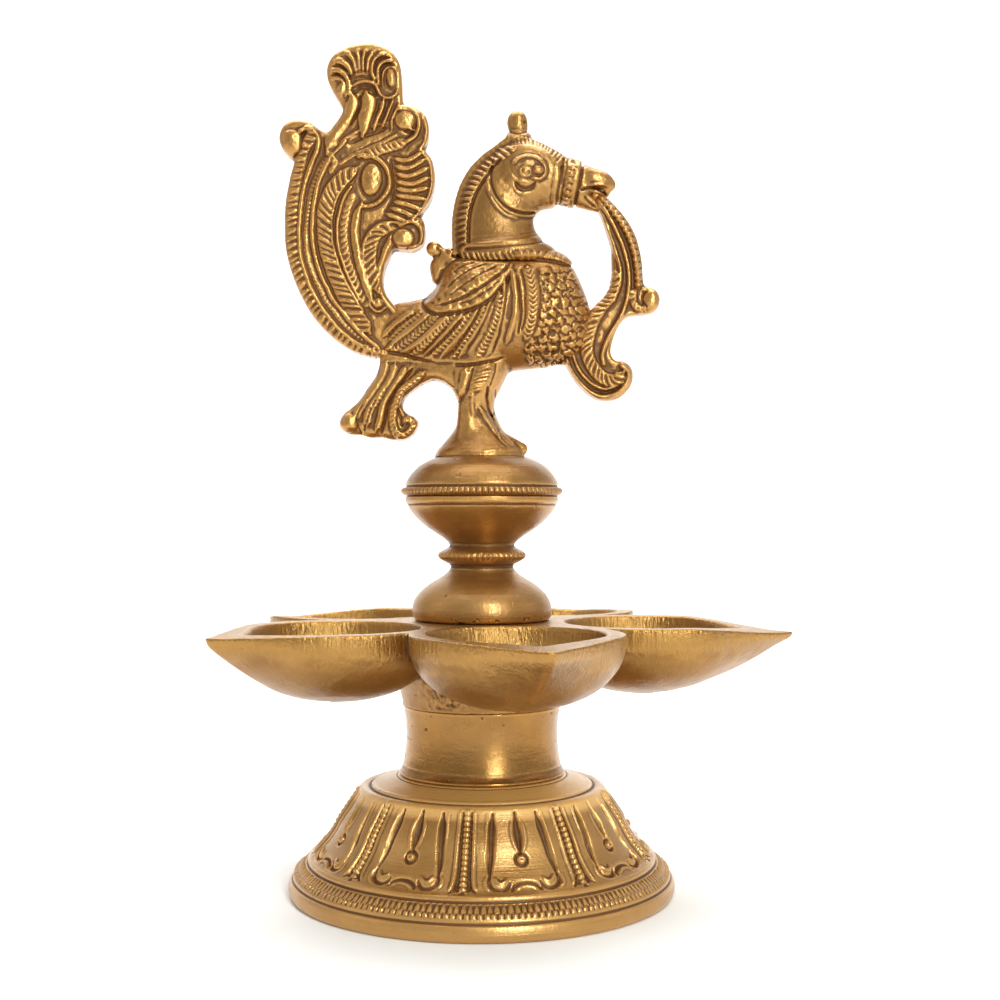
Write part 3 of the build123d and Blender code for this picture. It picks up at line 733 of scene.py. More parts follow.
# --------------------------------------------------------------------------
# Head and neck
# --------------------------------------------------------------------------
def build_head(material):
    px = 1 / U
    clay = Clay((-8.6, -9.4, 140.2), (31.0, 9.4, 176.2), VOX)
    # neck
    clay.column_z(
        [
            (140.6, -4.8, 15.2, 7.0), (142.6, -5.5, 17.0, 7.9), (144.1, -5.8, 16.2, 7.7), (145.3, -5.9, 14.4, 7.1), (146.4, -6.1, 13.2, 6.5), (147.6, -6.2, 12.4, 6.1),
            (149.4, -6.3, 11.7, 5.6), (152.0, -6.0, 11.9, 5.3), (155.5, -5.2, 13.4, 5.2), (159.1, -3.6, 15.0, 5.1),
            (162.7, -0.9, 15.4, 4.8), (165.6, 2.6, 14.0, 4.0),
        ],
        0.4,
    )
    # skull and muzzle
    clay.ball(((524.5 - 482) / U, 0, 84.62 - (174.5 - 512) / U), (7.9, 5.6, 7.8), 0.9)
    clay.ball(((547 - 482) / U, 0, 84.62 - (178 - 512) / U), (6.6, 4.6, 6.2), 1.6)
    clay.limb(
        [
            (12.5, 0, 160.6, 4.6), (16.0, 0, 159.8, 4.75), (19.0, 0, 159.2, 4.8), (21.4, 0, 158.9, 4.5),
        ],
        1.2,
        flat=0.92,
    )
    clay.limb([(9.5, 0, 164.6, 3.9), (14.0, 0, 162.9, 3.6), (17.6, 0, 160.7, 3.2)], 1.2)
    # beak, upper and lower
    clay.limb([(21.0, 0, 160.2, 3.3), (24.0, 0, 159.9, 2.75), (27.0, 0, 159.4, 2.3), (28.7, 0, 158.6, 1.55)], 0.5, flat=1.15)
    clay.limb([(28.2, 0, 158.6, 1.4), (28.0, 0, 156.9, 1.0)], 0.5, flat=1.2)
    clay.limb([(20.6, 0, 156.4, 2.6), (23.6, 0, 155.0, 2.0), (26.4, 0, 153.5, 1.2)], 0.4, flat=1.1)
    clay.limb([(22.5, 0, 157.6, 1.7), (25.4, 0, 157.2, 1.5), (27.4, 0, 156.4, 1.1)], 0.4, flat=1.2)
    # crest knob
    clay.limb([(8.2, 0, 168.4, 3.1), (8.2, 0, 170.3, 2.2), (8.0, 0, 172.6, 2.35), (8.0, 0, 173.3, 2.1)], 0.7, flat=0.95)
    # mane: a rope along the back of the neck
    mane = [(459.6, 249), (458.8, 235), (459.2, 220), (461.8, 203.6), (466.8, 188), (475.6, 172.6), (487.4, 160.6), (500, 151.6), (510, 143.5)]
    m = sk(mane)
    clay.limb([(x, 0, z, 1.66) for x, z in m], 0.3, flat=2.4)
    # relief over the head and neck: ribs across the mane and a sunk line in front of it
    R = Relief(-9, 31.5, 139.5, 177, 0.11)
    band = lambda h, pitch: (lambda q, s, side, d, run: h * (0.5 + 0.5 * np.cos(2 * math.pi * (s + 0.35 * side * d) / pitch)) * (1 - q**4) ** 0.5)
    R.stroke(m, 14.6 * px, band(0.56, 6.4 * px), "set")
    R.stroke(sk([(468.6, 246), (468.6, 228), (471, 208.6), (476.4, 192.6), (485, 178.5), (493, 167), (501, 158)]), 3.6 * px, groove(0.80), "add", taper=(1.0, 1.0))
    # cheek disc, proud of the neck and edged by a sunk line
    R.stroke(sk([(493, 160), (491.4, 170), (491, 181), (494, 191.5), (500.5, 201), (510, 208.6), (523, 212.4), (535, 212)]), 3.4 * px, groove(0.80), "add", taper=(1.0, 0.8))
    R.stroke(sk([(489, 168), (487, 180), (489.5, 193), (496, 204.5), (506, 213.5), (518, 217.5)]), 3.2 * px, ridge(0.34), "add", taper=(1.0, 1.0))
    R.stroke(sk([(497, 158), (503, 151.5), (513, 146.8), (526, 145), (539, 148), (550, 155.5), (557, 166)]), 3.4 * px, groove(0.08), "add", taper=(0.6, 1.0))
    # hatched crown from crest to beak
    R.stroke(sk([(497, 150), (505, 144.5), (514, 140.5), (526, 138.5), (538, 140), (549, 146), (558, 155), (565, 165)]),
             11.0 * px, ribs(0.36, 4.1 * px, low=0.1, slant=0.15, sharp=1.0, edge=0.6), "max", taper=(0.6, 0.8))
    # brow scroll, pupil, lower lid
    R.stroke(sk([(512.5, 162.5), (518, 157.5), (526, 154.5), (534.5, 155.5), (541.5, 160), (545.6, 167), (544.5, 174), (539, 178), (532.5, 177)]),
             4.4 * px, ridge(0.55, 0.8), taper=(0.5, 0.2))
    R.stroke(sk([(513, 160), (519, 155.5), (527, 152.6), (536, 154)]), 2.2 * px, groove(0.22), "add", taper=(0.5, 0.8))
    R.blob(sk([(538.5, 169.0)])[0], 5.4 * px, 5.2 * px, 0.95, power=0.6)
    R.stroke(sk([(525.3, 165.6), (529.8, 168), (530.2, 172.8), (525.6, 175.2), (521, 172.8), (520.7, 168), (525.3, 165.6)]), 2.2 * px, ridge(0.40))
    R.blob(sk([(525.5, 170.4)])[0], 3.6 * px, 3.8 * px, 0.48, power=0.6)
    R.stroke(sk([(510, 172), (514, 177.5), (520, 180.5), (528, 181)]), 2.4 * px, ridge(0.20), taper=(0.5, 0.5))
    R.stroke(sk([(515.5, 181.5), (519, 186.4), (525, 188.6), (531, 187), (535, 182.5)]), 6.0 * px, groove(0.60), "add", taper=(0.8, 0.7))
    R.stroke(sk([(513, 184), (518, 191), (524, 193)]), 2.4 * px, ridge(0.22), "add", taper=(0.4, 0.4))
    # cheek plane breaks ahead of the collar
    R.stroke(sk([(556.5, 158), (554.5, 170), (552, 184), (550, 202)]), 2.4 * px, groove(0.14), "add")
    # beaded collar round the beak, standing up between two sunk lines
    R.stroke(sk([(576, 160), (573, 175), (570.5, 189), (567.5, 205)]), 15 * px, lambda q, s, side, d, run: 0.55 * (1 - q**8), "max")
    R.stroke(sk([(573.2, 162), (571, 176), (568.5, 189), (565.6, 203)]), 6.6 * px, lambda q, s, side, d, run: -0.30 * (1 - q**4), "add")
    R.stroke(sk([(573.2, 162), (571, 176), (568.5, 189), (565.6, 203)]), 7.2 * px, beads(0.66, 6.6 * px, 3.5 * px), "add")
    R.stroke(sk([(563.6, 158), (561, 176), (558.4, 190), (556, 204)]), 3.2 * px, groove(0.60), "add")
    R.stroke(sk([(583.2, 162), (580.6, 178), (577.6, 192), (574.6, 205)]), 3.4 * px, groove(0.75), "add")
    # mouth and beak edge
    R.stroke(sk([(580, 190), (589, 186.8), (597, 187.6), (604, 191.5), (607, 195)]), 3.0 * px, groove(0.75), "add", taper=(0.3, 0.5))
    R.stroke(sk([(583, 186), (592, 184.4), (601, 183.6), (609, 185)]), 4.0 * px, ridge(0.34), "add", taper=(0.5, 0.5))
    R.stroke(sk([(585, 196), (590, 202), (596, 207)]), 2.6 * px, groove(0.45), "add", taper=(0.3, 0.5))
    # crest ring and eye
    R.stroke(sk([(508, 130.5), (517, 132.5), (528, 131)]), 2.4 * px, groove(0.40), "add")
    R.stroke(sk([(509, 136), (518, 138), (528, 137)]), 6.0 * px, ribs(0.30, 3.4 * px, low=0.1), "max")
    R.blob(sk([(524.5, 121)])[0], 2.3 * px, 2.8 * px, -0.35, how="add")
    # flange over the shoulders: little arches behind, a row of fat beads in front
    hem = sk([(450, 254.2), (466, 255.4), (484, 255.8), (502, 255.6), (518, 255.0), (534, 255.2), (548, 256.4), (560, 258.8), (573, 263)])
    R.stroke(hem[:5], 9.0 * px, ribs(0.62, 5.6 * px, low=-0.1, slant=0.5, sharp=0.9), "max", taper=(0.4, 0.2))
    R.stroke(hem[4:], 12.0 * px, beads(1.55, 6.6 * px, 5.4 * px), "max")
    R.stroke(sk([(517, 249.6), (534, 249.6), (550, 251.2), (566, 255)]), 2.6 * px, ridge(0.30), "add", taper=(0.4, 0.4))
    # ring and fillet where the neck meets the body
    R.stroke(sk([(466, 245), (490, 243), (515, 240), (541, 237)]), 4.6 * px, ridge(0.28, 0.8), "max")
    R.stroke(sk([(466, 249), (490, 247.4), (515, 245), (545, 241.5)]), 2.8 * px, groove(0.40), "add")
    R.stroke(sk([(470, 239), (492, 237.3), (515, 234.4), (534, 231.3)]), 2.2 * px, groove(0.08), "add")
    disc = smooth(sk([(489.5, 166), (488.5, 180), (490.5, 192), (497, 203), (507, 212), (520, 216.5), (536, 215.5), (552, 210), (560, 200),
                      (562, 180), (560, 164), (551, 152), (539, 145), (524, 142.5), (509, 144), (497, 152)]), 0.4, closed=True)
    up = np.clip(-R.inside(disc) / 0.8, 0, 1)
    R.D += 0.60 * up * (2 - up)
    R.D = R.blur(0.085)
    R.by_hand(221, 0.06, 0.12, 0.03)
    clay.emboss(R)
    v, q = clay.mesh("head")
    return piece("neck_and_head_casting", v, q, "finial", material, ("bird_neck_head",))


# --------------------------------------------------------------------------
# Body, wings, legs, lower tail scroll
# --------------------------------------------------------------------------
SCROLL = smooth(
    sk(
        [
            (386, 346), (381, 358), (379.5, 368), (376, 377), (368, 389), (360, 401), (352, 408.5), (344, 415), (340.3, 424), (343, 431.5),
            (351, 435.5), (362, 436.4), (371, 439), (382, 438.6), (392, 441), (402, 441), (411, 437.5), (416.5, 429), (419.5, 421.5),
            (411, 415.5), (404.5, 409), (405, 401), (412, 393.8), (424, 385), (434, 381.5), (444, 384), (453, 392), (459, 400), (470, 390), (474, 360), (430, 348),
        ]
    ),
    0.5,
    closed=True,
)


def body_relief():
    px = 1 / U
    R = Relief(-33, 26, 96, 147.5, 0.11)
    # collar of beads round the top of the breast
    collar = sk([(452, 248.5), (466, 251), (484, 252.2), (502, 252.2), (520, 251.6), (538, 252.6), (556, 254.8), (574, 259)])
    R.stroke(collar, 12.0 * px, lambda q, s, side, d, run: 0.20 * (1 - q**6), "max")
    R.stroke(collar[:5], 10.5 * px, ribs(0.46, 5.4 * px, low=0.0, slant=0.5, sharp=0.9), "add")
    R.stroke(collar[4:], 12.5 * px, beads(0.85, 6.4 * px, 5.4 * px), "add")
    R.stroke(sk([(519, 247), (538, 248), (556, 250), (572, 254)]), 2.6 * px, ridge(0.25), "add", taper=(0.5, 0.5))
    R.stroke(sk([(452, 255.5), (484, 259.8), (520, 259.4), (548, 261.4), (576, 267)]), 2.6 * px, groove(0.42), "add")
    R.stroke(sk([(452, 242), (484, 245), (520, 244), (548, 245), (572, 250.5)]), 2.6 * px, groove(0.38), "add")
    # upper wing, lying over the lower feathers
    wing = smooth(sk([(511, 261), (512, 268), (507, 278), (499, 289), (490, 298), (477, 306), (458, 311.5), (440, 313), (428, 309),
                      (424.5, 303), (432, 297), (437, 288), (441, 277), (447, 266), (458, 260), (480, 259)]), 0.4, closed=True)
    sw = R.inside(wing)
    lift = np.clip(-sw / 0.7, 0, 1)
    R.D += 0.62 * lift * (2 - lift)
    R.D -= 0.42 * np.exp(-((sw - 0.45) ** 2) / (2 * 0.35**2)) * (np.arange(len(R.z))[None, :] * 0 + 1) * (R.z[None, :] < 139.5)
    # its skin is lumpy, as if pressed with a fingertip
    wx, wz = np.meshgrid(R.x, R.z, indexing="ij")
    R.D += np.clip(-sw / 1.2, 0, 1) * (0.30 * value_noise(wx, wz, 0 * wx, 1.5, 61, 2) + 0.16 * value_noise(wx, wz, 0 * wx, 0.75, 62, 1))
    for r, w, g in [
        ([(510, 262), (503, 271), (490, 281), (474, 291), (456, 300), (438, 305)], 4.2, 0.66),
        ([(496, 266), (478, 275), (463, 285), (449, 295)], 2.8, 0.42),
        ([(486, 263.5), (470, 269), (457, 278), (446, 288)], 2.8, 0.40),
        ([(474, 261.5), (461, 266), (451, 274)], 2.6, 0.34),
        ([(500, 280), (486, 291), (470, 299.5), (452, 306)], 2.4, 0.30),
    ]:
        R.stroke(sk(r), w * px, groove(g), "add", taper=(0.8, 1.2))
    for r in [
        [(497, 272), (482, 282), (466, 292), (449, 300)], [(488, 267), (472, 276.5), (459, 286)], [(478, 264), (464, 271), (453, 280)],
    ]:
        R.stroke(sk(r), 7.0 * px, ribs(0.13, 4.6 * px, low=-0.2, slant=0.9), "add", taper=(0.8, 1.2))
    # ribbed and plain feathers fanning from the shoulder
    plain = [
        [(512, 268), (514.5, 282), (516, 298), (515, 314), (510.5, 330), (506, 344)],
        [(505, 281), (505.5, 296), (503, 313), (498, 330), (492, 346), (486, 356)],
        [(491, 301), (486, 315), (477, 331), (468, 345), (459, 357)],
        [(478, 309), (470, 322), (459, 336), (448, 349), (441, 358)],
        [(462, 313), (452, 325), (440, 338), (429, 350), (424, 356)],
        [(446, 316), (436, 326), (424, 337), (411, 347), (401, 353)],
        [(428, 314), (417, 322), (404, 333), (392, 344), (384, 351)],
        [(412, 311), (400, 319), (388, 330), (379, 341)],
    ]
    for r in plain:
        R.stroke(sk(r), 6.8 * px, ridge(0.50, 0.8), "max", taper=(1.2, 1.6))
    ribbed = [
        [(499, 292), (499.5, 306), (496.5, 320), (490, 335), (482, 349), (476, 357)],
        [(484, 306), (478, 320), (468, 335), (457, 350), (451, 358)],
        [(470, 313), (461, 325), (449, 338), (437, 350), (432, 357)],
        [(454, 315), (444, 326), (432, 338), (420, 348), (412, 354)],
        [(437, 316), (427, 324), (414, 335), (402, 345), (392, 351)],
        [(420, 312), (408, 321), (396, 331), (385, 343)],
    ]
    for r in ribbed:
        R.stroke(sk(r), 8.4 * px, chevrons(0.44, 4.6 * px, low=0.05, slope=0.7), "max", taper=(1.2, 1.6))
    for r in [
        [(508, 276), (506.5, 292), (503.5, 312), (499, 334), (493, 352)],
        [(517, 275), (520, 294), (521, 314), (518, 334)],
        [(492, 300), (486.5, 316), (477, 335), (466, 352)],
        [(481, 306), (474, 320), (462.5, 338), (451, 355)],
        [(462, 319), (446, 337), (427, 356)],
        [(447, 326), (436, 338.5), (423, 353)],
        [(417, 312), (397, 327), (380, 347)],
    ]:
        R.stroke(sk(r), 3.0 * px, groove(0.60), "add", taper=(1.0, 1.2))
    # beaded seam in front of the wing
    R.stroke(sk([(527, 266), (531, 280), (533, 296), (532.5, 312), (530, 326), (526, 340)]), 11.5 * px,
             chevrons(0.58, 5.0 * px, low=0.10, slope=0.9), "max", taper=(0.8, 2.0))
    R.stroke(sk([(520.5, 268), (524, 282), (525.5, 298), (525, 314), (521, 332)]), 2.4 * px, groove(0.42), "add", taper=(0.6, 1.0))
    R.stroke(sk([(537, 268), (540, 284), (540.5, 300), (538.5, 318), (533, 336)]), 2.0 * px, groove(0.35), "add", taper=(0.6, 1.0))
    # breast: rows of overlapping scales
    X, Z = np.meshgrid(R.x, R.z, indexing="ij")
    px_x, px_z = X * U + 482, 512 - (Z - 84.62) * U
    region = smooth(sk([(539, 268), (556, 266), (573, 270), (581, 290), (590, 308), (590, 330), (584, 352), (570, 368), (550, 372), (532, 366),
                        (524, 350), (535, 330), (540, 308), (541, 288)]), 0.5, closed=True)
    near = np.clip(-R.inside(region) / 0.5, 0, 1)
    wob = value_noise(X, Z, 0 * X, 0.9, 11, 2)
    wob2 = value_noise(X, Z, 0 * X, 0.8, 17, 2)
    u = (px_x - 0.28 * (px_z - 310) + 4.6 * wob) / 10.4
    w = (px_z + 0.12 * (px_x - 560) + 3.8 * wob2) / 8.8
    row = np.floor(w)
    fu = (u + 0.5 * (row % 2)) % 1 - 0.5
    fw = w - row
    jitter = value_noise(np.floor(u + 0.5 * (row % 2)) * 3.1, row * 2.7, 0 * u, 1.0, 5, 1)
    bulge = np.sqrt(np.clip(1 - (fu / 0.52) ** 2 - ((fw - 0.35) / 0.62) ** 2, 0, 1))
    lip = np.exp(-((np.hypot(fu / 0.50, (fw - 0.25) / 0.70) - 1) ** 2) / 0.03)
    dent = np.exp(-((fu / 0.20) ** 2 + ((fw - 0.30) / 0.26) ** 2))
    R.D += near * ((0.58 + 0.42 * jitter) * bulge - 0.44 * lip - (0.34 + 0.3 * jitter) * dent)
    # parting line under the wing
    R.stroke(sk([(378, 350), (390, 352.5), (404, 355), (420, 359.5), (436, 363.5), (452, 365), (470, 364.5), (488, 362), (502, 358)]), 4.4 * px,
             groove(0.62), "add", taper=(0.5, 2.0))
    # thigh leaf
    R.stroke(sk([(489, 364), (484, 374), (477, 384), (470, 393)]), 15 * px, ribs(0.42, 4.6 * px, low=0.05, slant=0.9), "max", taper=(0.8, 2.4))
    R.stroke(sk([(465, 369), (463.5, 379), (461.5, 390), (459.5, 399)]), 8.5 * px, ridge(0.40, 0.8), taper=(0.8, 1.6))
    R.stroke(sk([(473, 367), (470, 379), (466, 393)]), 2.6 * px, groove(0.42), "add", taper=(0.5, 1.0))
    R.stroke(sk([(496, 362), (494, 374), (489, 388), (486, 398)]), 2.4 * px, groove(0.32), "add", taper=(0.5, 1.0))
    # lower tail scroll
    ss = R.inside(SCROLL)
    inner = (ss < 0) & (X < (455 - 482) / U) & (Z < 84.62 - (362 - 512) / U)
    R.D[inner & (R.D < 0.02)] = -0.22
    R.stroke(sk([(386, 362), (383, 374), (376, 386), (367, 399), (359, 410), (355, 420)]), 8.0 * px, ridge(0.46, 0.8), taper=(0.4, 0.8))
    R.blob(sk([(349, 423)])[0], 8.6 * px, 9.6 * px, 0.85, power=0.6)
    R.stroke(sk([(395, 364), (391, 376), (384, 388), (375, 401), (368, 414), (367, 427)]), 9.0 * px, ridge(0.48, 0.8), taper=(0.4, 1.0))
    R.stroke(sk([(384, 392), (377, 402), (371.5, 413), (370, 424)]), 8.5 * px, ribs(0.20, 4.2 * px, low=-0.3, slant=0.6), "add")
    R.stroke(sk([(377, 398), (369, 413), (364, 432)]), 2.4 * px, groove(0.45), "add", taper=(0.8, 0.4))
    R.stroke(sk([(364, 403), (358, 413), (357, 424), (362, 434)]), 2.4 * px, groove(0.50), "add", taper=(0.8, 0.4))
    R.stroke(sk([(413, 368), (404, 379), (394, 391), (388, 405), (385.5, 419), (381, 434)]), 3.0 * px, groove(0.75), "add", taper=(1.0, 0.4))
    R.stroke(sk([(406, 367), (399, 378), (389, 392), (383, 405), (380, 418), (376, 431)]), 7.2 * px, ridge(0.52, 0.8), taper=(0.6, 0.8))
    R.stroke(sk([(424, 372), (412, 382), (401, 391), (396, 403), (393, 416), (394, 428), (400, 436), (409, 433), (414, 425), (409, 419), (402, 423)]),
             7.6 * px, ribs(0.60, 4.8 * px, low=0.35, slant=0.6, sharp=1.0), "max", taper=(0.5, 0.5))
    R.stroke(sk([(397, 407), (401, 417), (402, 427)]), 3.6 * px, groove(0.55), "add", taper=(0.4, 0.4))
    # back knob
    R.stroke(sk([(437, 247), (440, 252), (437.5, 256)]), 2.4 * px, groove(0.42), "add", taper=(0.3, 0.3))
    # shin and toes
    R.stroke(sk([(473, 388), (472, 402), (473, 416)]), 3.4 * px, ridge(0.26), taper=(0.8, 0.8))
    R.stroke(sk([(480, 408), (486, 418), (493, 428), (500, 437)]), 5.0 * px, ridge(0.52), taper=(0.8, 0.6))
    R.stroke(sk([(487.5, 386), (486.8, 398), (488.5, 410), (494, 421)]), 2.8 * px, groove(0.55), "add", taper=(0.8, 0.8))
    R.stroke(sk([(495.5, 388), (494.8, 400), (497, 412), (502, 422)]), 2.0 * px, groove(0.36), "add", taper=(0.8, 0.8))
    R.stroke(sk([(500, 432), (508, 440), (514, 445)]), 5.0 * px, ridge(0.40), taper=(0.6, 0.6))
    R.stroke(sk([(494, 434), (501, 442), (508, 447)]), 2.2 * px, groove(0.35), "add", taper=(0.5, 0.5))
    R.stroke(sk([(462, 449.5), (480, 451), (500, 450), (518, 449)]), 2.6 * px, ridge(0.25), "add")
    R.D = R.blur(0.09)
    R.by_hand(231, 0.12, 0.22, 0.05)
    return R


def build_body(material):
    clay = Clay((-33.2, -11.4, 96.2), (25.4, 11.4, 147.2), VOX)
    clay.column_x(
        [
            (-22.4, 129.0, 121.2, 2.9), (-19.4, 131.6, 119.2, 4.0), (-16.0, 132.2, 118.0, 5.3), (-12.6, 133.3, 117.2, 6.6), (-10.1, 136.2, 116.9, 7.6),
            (-7.0, 140.4, 116.5, 8.5), (-3.8, 142.9, 116.3, 9.0), (0.0, 143.9, 116.2, 9.4), (4.0, 144.2, 116.2, 9.7), (10.8, 144.3, 116.8, 9.5),
            (16.0, 143.3, 117.6, 8.3), (19.6, 141.0, 118.4, 6.8), (21.6, 137.8, 119.6, 5.4), (23.6, 133.0, 121.9, 3.0), (24.4, 130.4, 123.6, 1.4),
        ],
        0.5,
    )
    # thigh
    clay.column_z(
        [(122.5, -6.2, 6.6, 7.2), (118.5, -6.2, 6.4, 6.9), (115.4, -6.0, 5.6, 6.5), (112.6, -5.7, 4.3, 6.1), (110.6, -5.4, 3.3, 5.7), (108.6, -5.0, 2.8, 5.2), (106.4, -4.6, 2.4, 4.6), (104.4, -4.4, 2.2, 4.0)],
        1.4,
    )
    # two legs, the near one set a little back
    clay.limb([(-2.6, -3.0, 114.0, 2.9), (-2.75, -3.0, 110.4, 2.55), (-2.9, -2.9, 107.4, 2.5), (-2.8, -2.7, 104.0, 2.9), (-2.6, -2.4, 101.0, 3.6)], 1.3)
    clay.limb([(0.5, 3.0, 114.0, 2.9), (0.45, 3.0, 110.4, 2.55), (0.55, 2.9, 107.4, 2.5), (1.2, 2.7, 104.0, 2.9), (2.0, 2.4, 101.0, 3.4)], 1.3)
    clay.column_z(
        [(106.2, -5.2, 3.0, 4.2), (104.0, -5.8, 4.2, 5.0), (102.4, -6.8, 5.4, 6.0), (101.0, -7.9, 7.2, 6.9), (99.8, -8.9, 8.6, 7.7),
         (98.9, -9.7, 9.4, 8.5), (98.0, -10.3, 9.6, 9.1), (97.0, -10.7, 9.65, 9.4), (96.6, -10.8, 9.65, 9.5)],
        0.9,
    )
    # toes at the front of the pad
    clay.limb([(3.6, -2.3, 101.4, 1.6), (6.4, -2.4, 100.0, 1.5), (8.9, -2.3, 98.8, 1.35)], 0.7)
    clay.limb([(3.6, 2.3, 101.4, 1.6), (6.4, 2.4, 100.0, 1.5), (8.9, 2.3, 98.8, 1.35)], 0.7)
    # lower tail scroll
    clay.plate(SCROLL, lambda X, Z: np.interp(X, [-33, -26, -16, -8, -2], [3.0, 3.3, 3.7, 5.2, 6.2]), 1.8, 0.8)
    # back knob on its stalk
    clay.limb([(-7.0, 0, 141.0, 2.6), (-9.2, 0, 142.8, 1.6), (-10.7, 0, 144.0, 1.5)], 0.6)
    clay.ball((-10.9, 0, 144.0), (1.75, 1.9, 1.75), 0.3)
    clay.limb([(-9.6, 0, 140.0, 2.2), (-8.6, 0, 138.0, 3.0)], 1.0)
    R = body_relief()
    clay.emboss(R)
    v, q = clay.mesh("body")
    keep = v[:, 2]
    v[:, 2] = np.maximum(keep, 97.02)
    v += (0.05 * value_noise(v[:, 0], v[:, 1], v[:, 2], 2.2, 11))[:, None] * np.array([0.4, 1.0, 0.3])
    return piece("bird_body_casting", v, q, "finial", material, ("bird_body",))


# --------------------------------------------------------------------------
# Turned pieces: profiles spun about the axis, with relief along them
# --------------------------------------------------------------------------
def run(points, step, curve=False):
    """A stretch of profile (r, z) resampled about step apart, without its last point."""
    p = np.array(points, float)
    if curve:
        return smooth(p, step)[:-1]
    out = []
    for a, b in zip(p, p[1:]):
        k = max(1, int(round(np.hypot(*(b - a)) / step)))
        out.append(a + (b - a) * np.linspace(0, 1, k, endpoint=False)[:, None])
    return np.vstack(out)


def soften(profile, rounds, closed=False):
    """Rounds off a profile's corners; its ends stay."""
    p = profile.copy()
    for _ in range(rounds):
        if closed:
            p = 0.5 * p + 0.25 * (np.roll(p, 1, 0) + np.roll(p, -1, 0))
        else:
            p[1:-1] = 0.5 * p[1:-1] + 0.25 * (p[2:] + p[:-2])
    return p


def spin(profile, around, closed, relief=None, wobble=None):
    """Spins a profile. Ends at r = 0 are capped. relief(phi, v, r, z) is a height along the normal."""
    p = np.asarray(profile, float)
    cap0 = (not closed) and p[0, 0] < 1e-6
    cap1 = (not closed) and p[-1, 0] < 1e-6
    body = p[1 if cap0 else 0 : len(p) - 1 if cap1 else len(p)]
    if closed:
        t = np.roll(body, -1, 0) - np.roll(body, 1, 0)
    else:
        t = np.gradient(body, axis=0)
    t /= np.maximum(np.hypot(t[:, 0], t[:, 1]), 1e-9)[:, None]
    area2 = np.sum(body[:, 0] * np.roll(body[:, 1], -1) - np.roll(body[:, 0], -1) * body[:, 1])
    sgn = 1.0 if area2 > 0 else -1.0
    nr, nz = sgn * t[:, 1], -sgn * t[:, 0]
    v = np.concatenate([[0], np.cumsum(np.hypot(*np.diff(body, axis=0).T))])
    phi = np.arange(around) * 2 * math.pi / around
    R = np.repeat(body[:, 0][:, None], around, 1)
    Z = np.repeat(body[:, 1][:, None], around, 1)
    P = np.repeat(phi[None, :], len(body), 0)
    H = np.zeros_like(R)
    if relief is not None:
        H = H + relief(P, np.repeat(v[:, None], around, 1), R, Z)
    if wobble is not None:
        X, Y = R * np.cos(P), R * np.sin(P)
        H = H + wobble(X, Y, Z, R)
    R2, Z2 = R + H * nr[:, None], Z + H * nz[:, None]
    verts = np.stack([R2 * np.cos(P), R2 * np.sin(P), Z2], -1).reshape(-1, 3)
    m, n = R.shape
    i = np.arange(m if closed else m - 1)[:, None]
    j = np.arange(around)[None, :]
    i1, j1 = (i + 1) % m, (j + 1) % around
    quads = np.stack([i * n + j, i * n + j1, i1 * n + j1, i1 * n + j], -1).reshape(-1, 4)
    extra_v, extra_q = [], []
    for cap, row, z in ((cap0, 0, p[0, 1]), (cap1, m - 1, p[-1, 1])):
        if cap:
            c = len(verts) + len(extra_v)
            extra_v.append((0.0, 0.0, z))
            k = np.arange(0, around, 2)
            a, b, d = row * n + k, row * n + k + 1, row * n + (k + 2) % around
            q = np.stack([np.full_like(k, c), a, b, d], -1)
            extra_q.append(q[:, ::-1] if row == 0 else q)
    if extra_v:
        verts = np.vstack([verts, extra_v])
        quads = np.vstack([quads] + extra_q)
    return verts, quads


FINE = 0.20


def skin(amount, scale, seed, lo=0.0):
    """The slightly uneven skin of a casting."""
    return lambda X, Y, Z, R: (amount * value_noise(X, Y, Z, scale, seed, 3)) * (R > lo)


# --------------------------------------------------------------------------
# Foot
# --------------------------------------------------------------------------
OUT = np.vstack(
    [
        run([(18.4, 26.0), (18.9, 25.85)], FINE),
        run([(18.9, 25.85), (22.0, 24.75), (24.9, 23.78)], FINE, True),
        run([(24.9, 23.78), (25.5, 23.50)], FINE),
        run([(25.5, 23.50), (26.6, 23.62), (27.5, 23.12), (28.1, 22.1), (28.95, 20.8), (29.9, 19.4), (31.0, 17.8), (32.0, 16.2), (32.9, 14.5), (34.2, 12.6),
             (35.7, 10.9), (37.3, 9.2), (38.9, 7.65), (40.3, 6.3), (41.4, 5.2), (42.2, 4.3), (42.8, 3.3), (43.1, 2.1), (43.05, 1.0), (42.6, 0.25), (41.9, 0.0)], FINE, True),
    ]
)
OUT_V = np.concatenate([[0], np.cumsum(np.hypot(*np.diff(OUT, axis=0).T))])


def v_at(z):
    """Arc length along the foot's profile at a height below its shoulder."""
    k = OUT[:, 0] > 27.0
    return float(np.interp(-z, -OUT[k, 1], OUT_V[k]))


def r_at(z):
    k = OUT[:, 0] > 27.0
    return float(np.interp(-z, -OUT[k, 1], OUT[k, 0]))


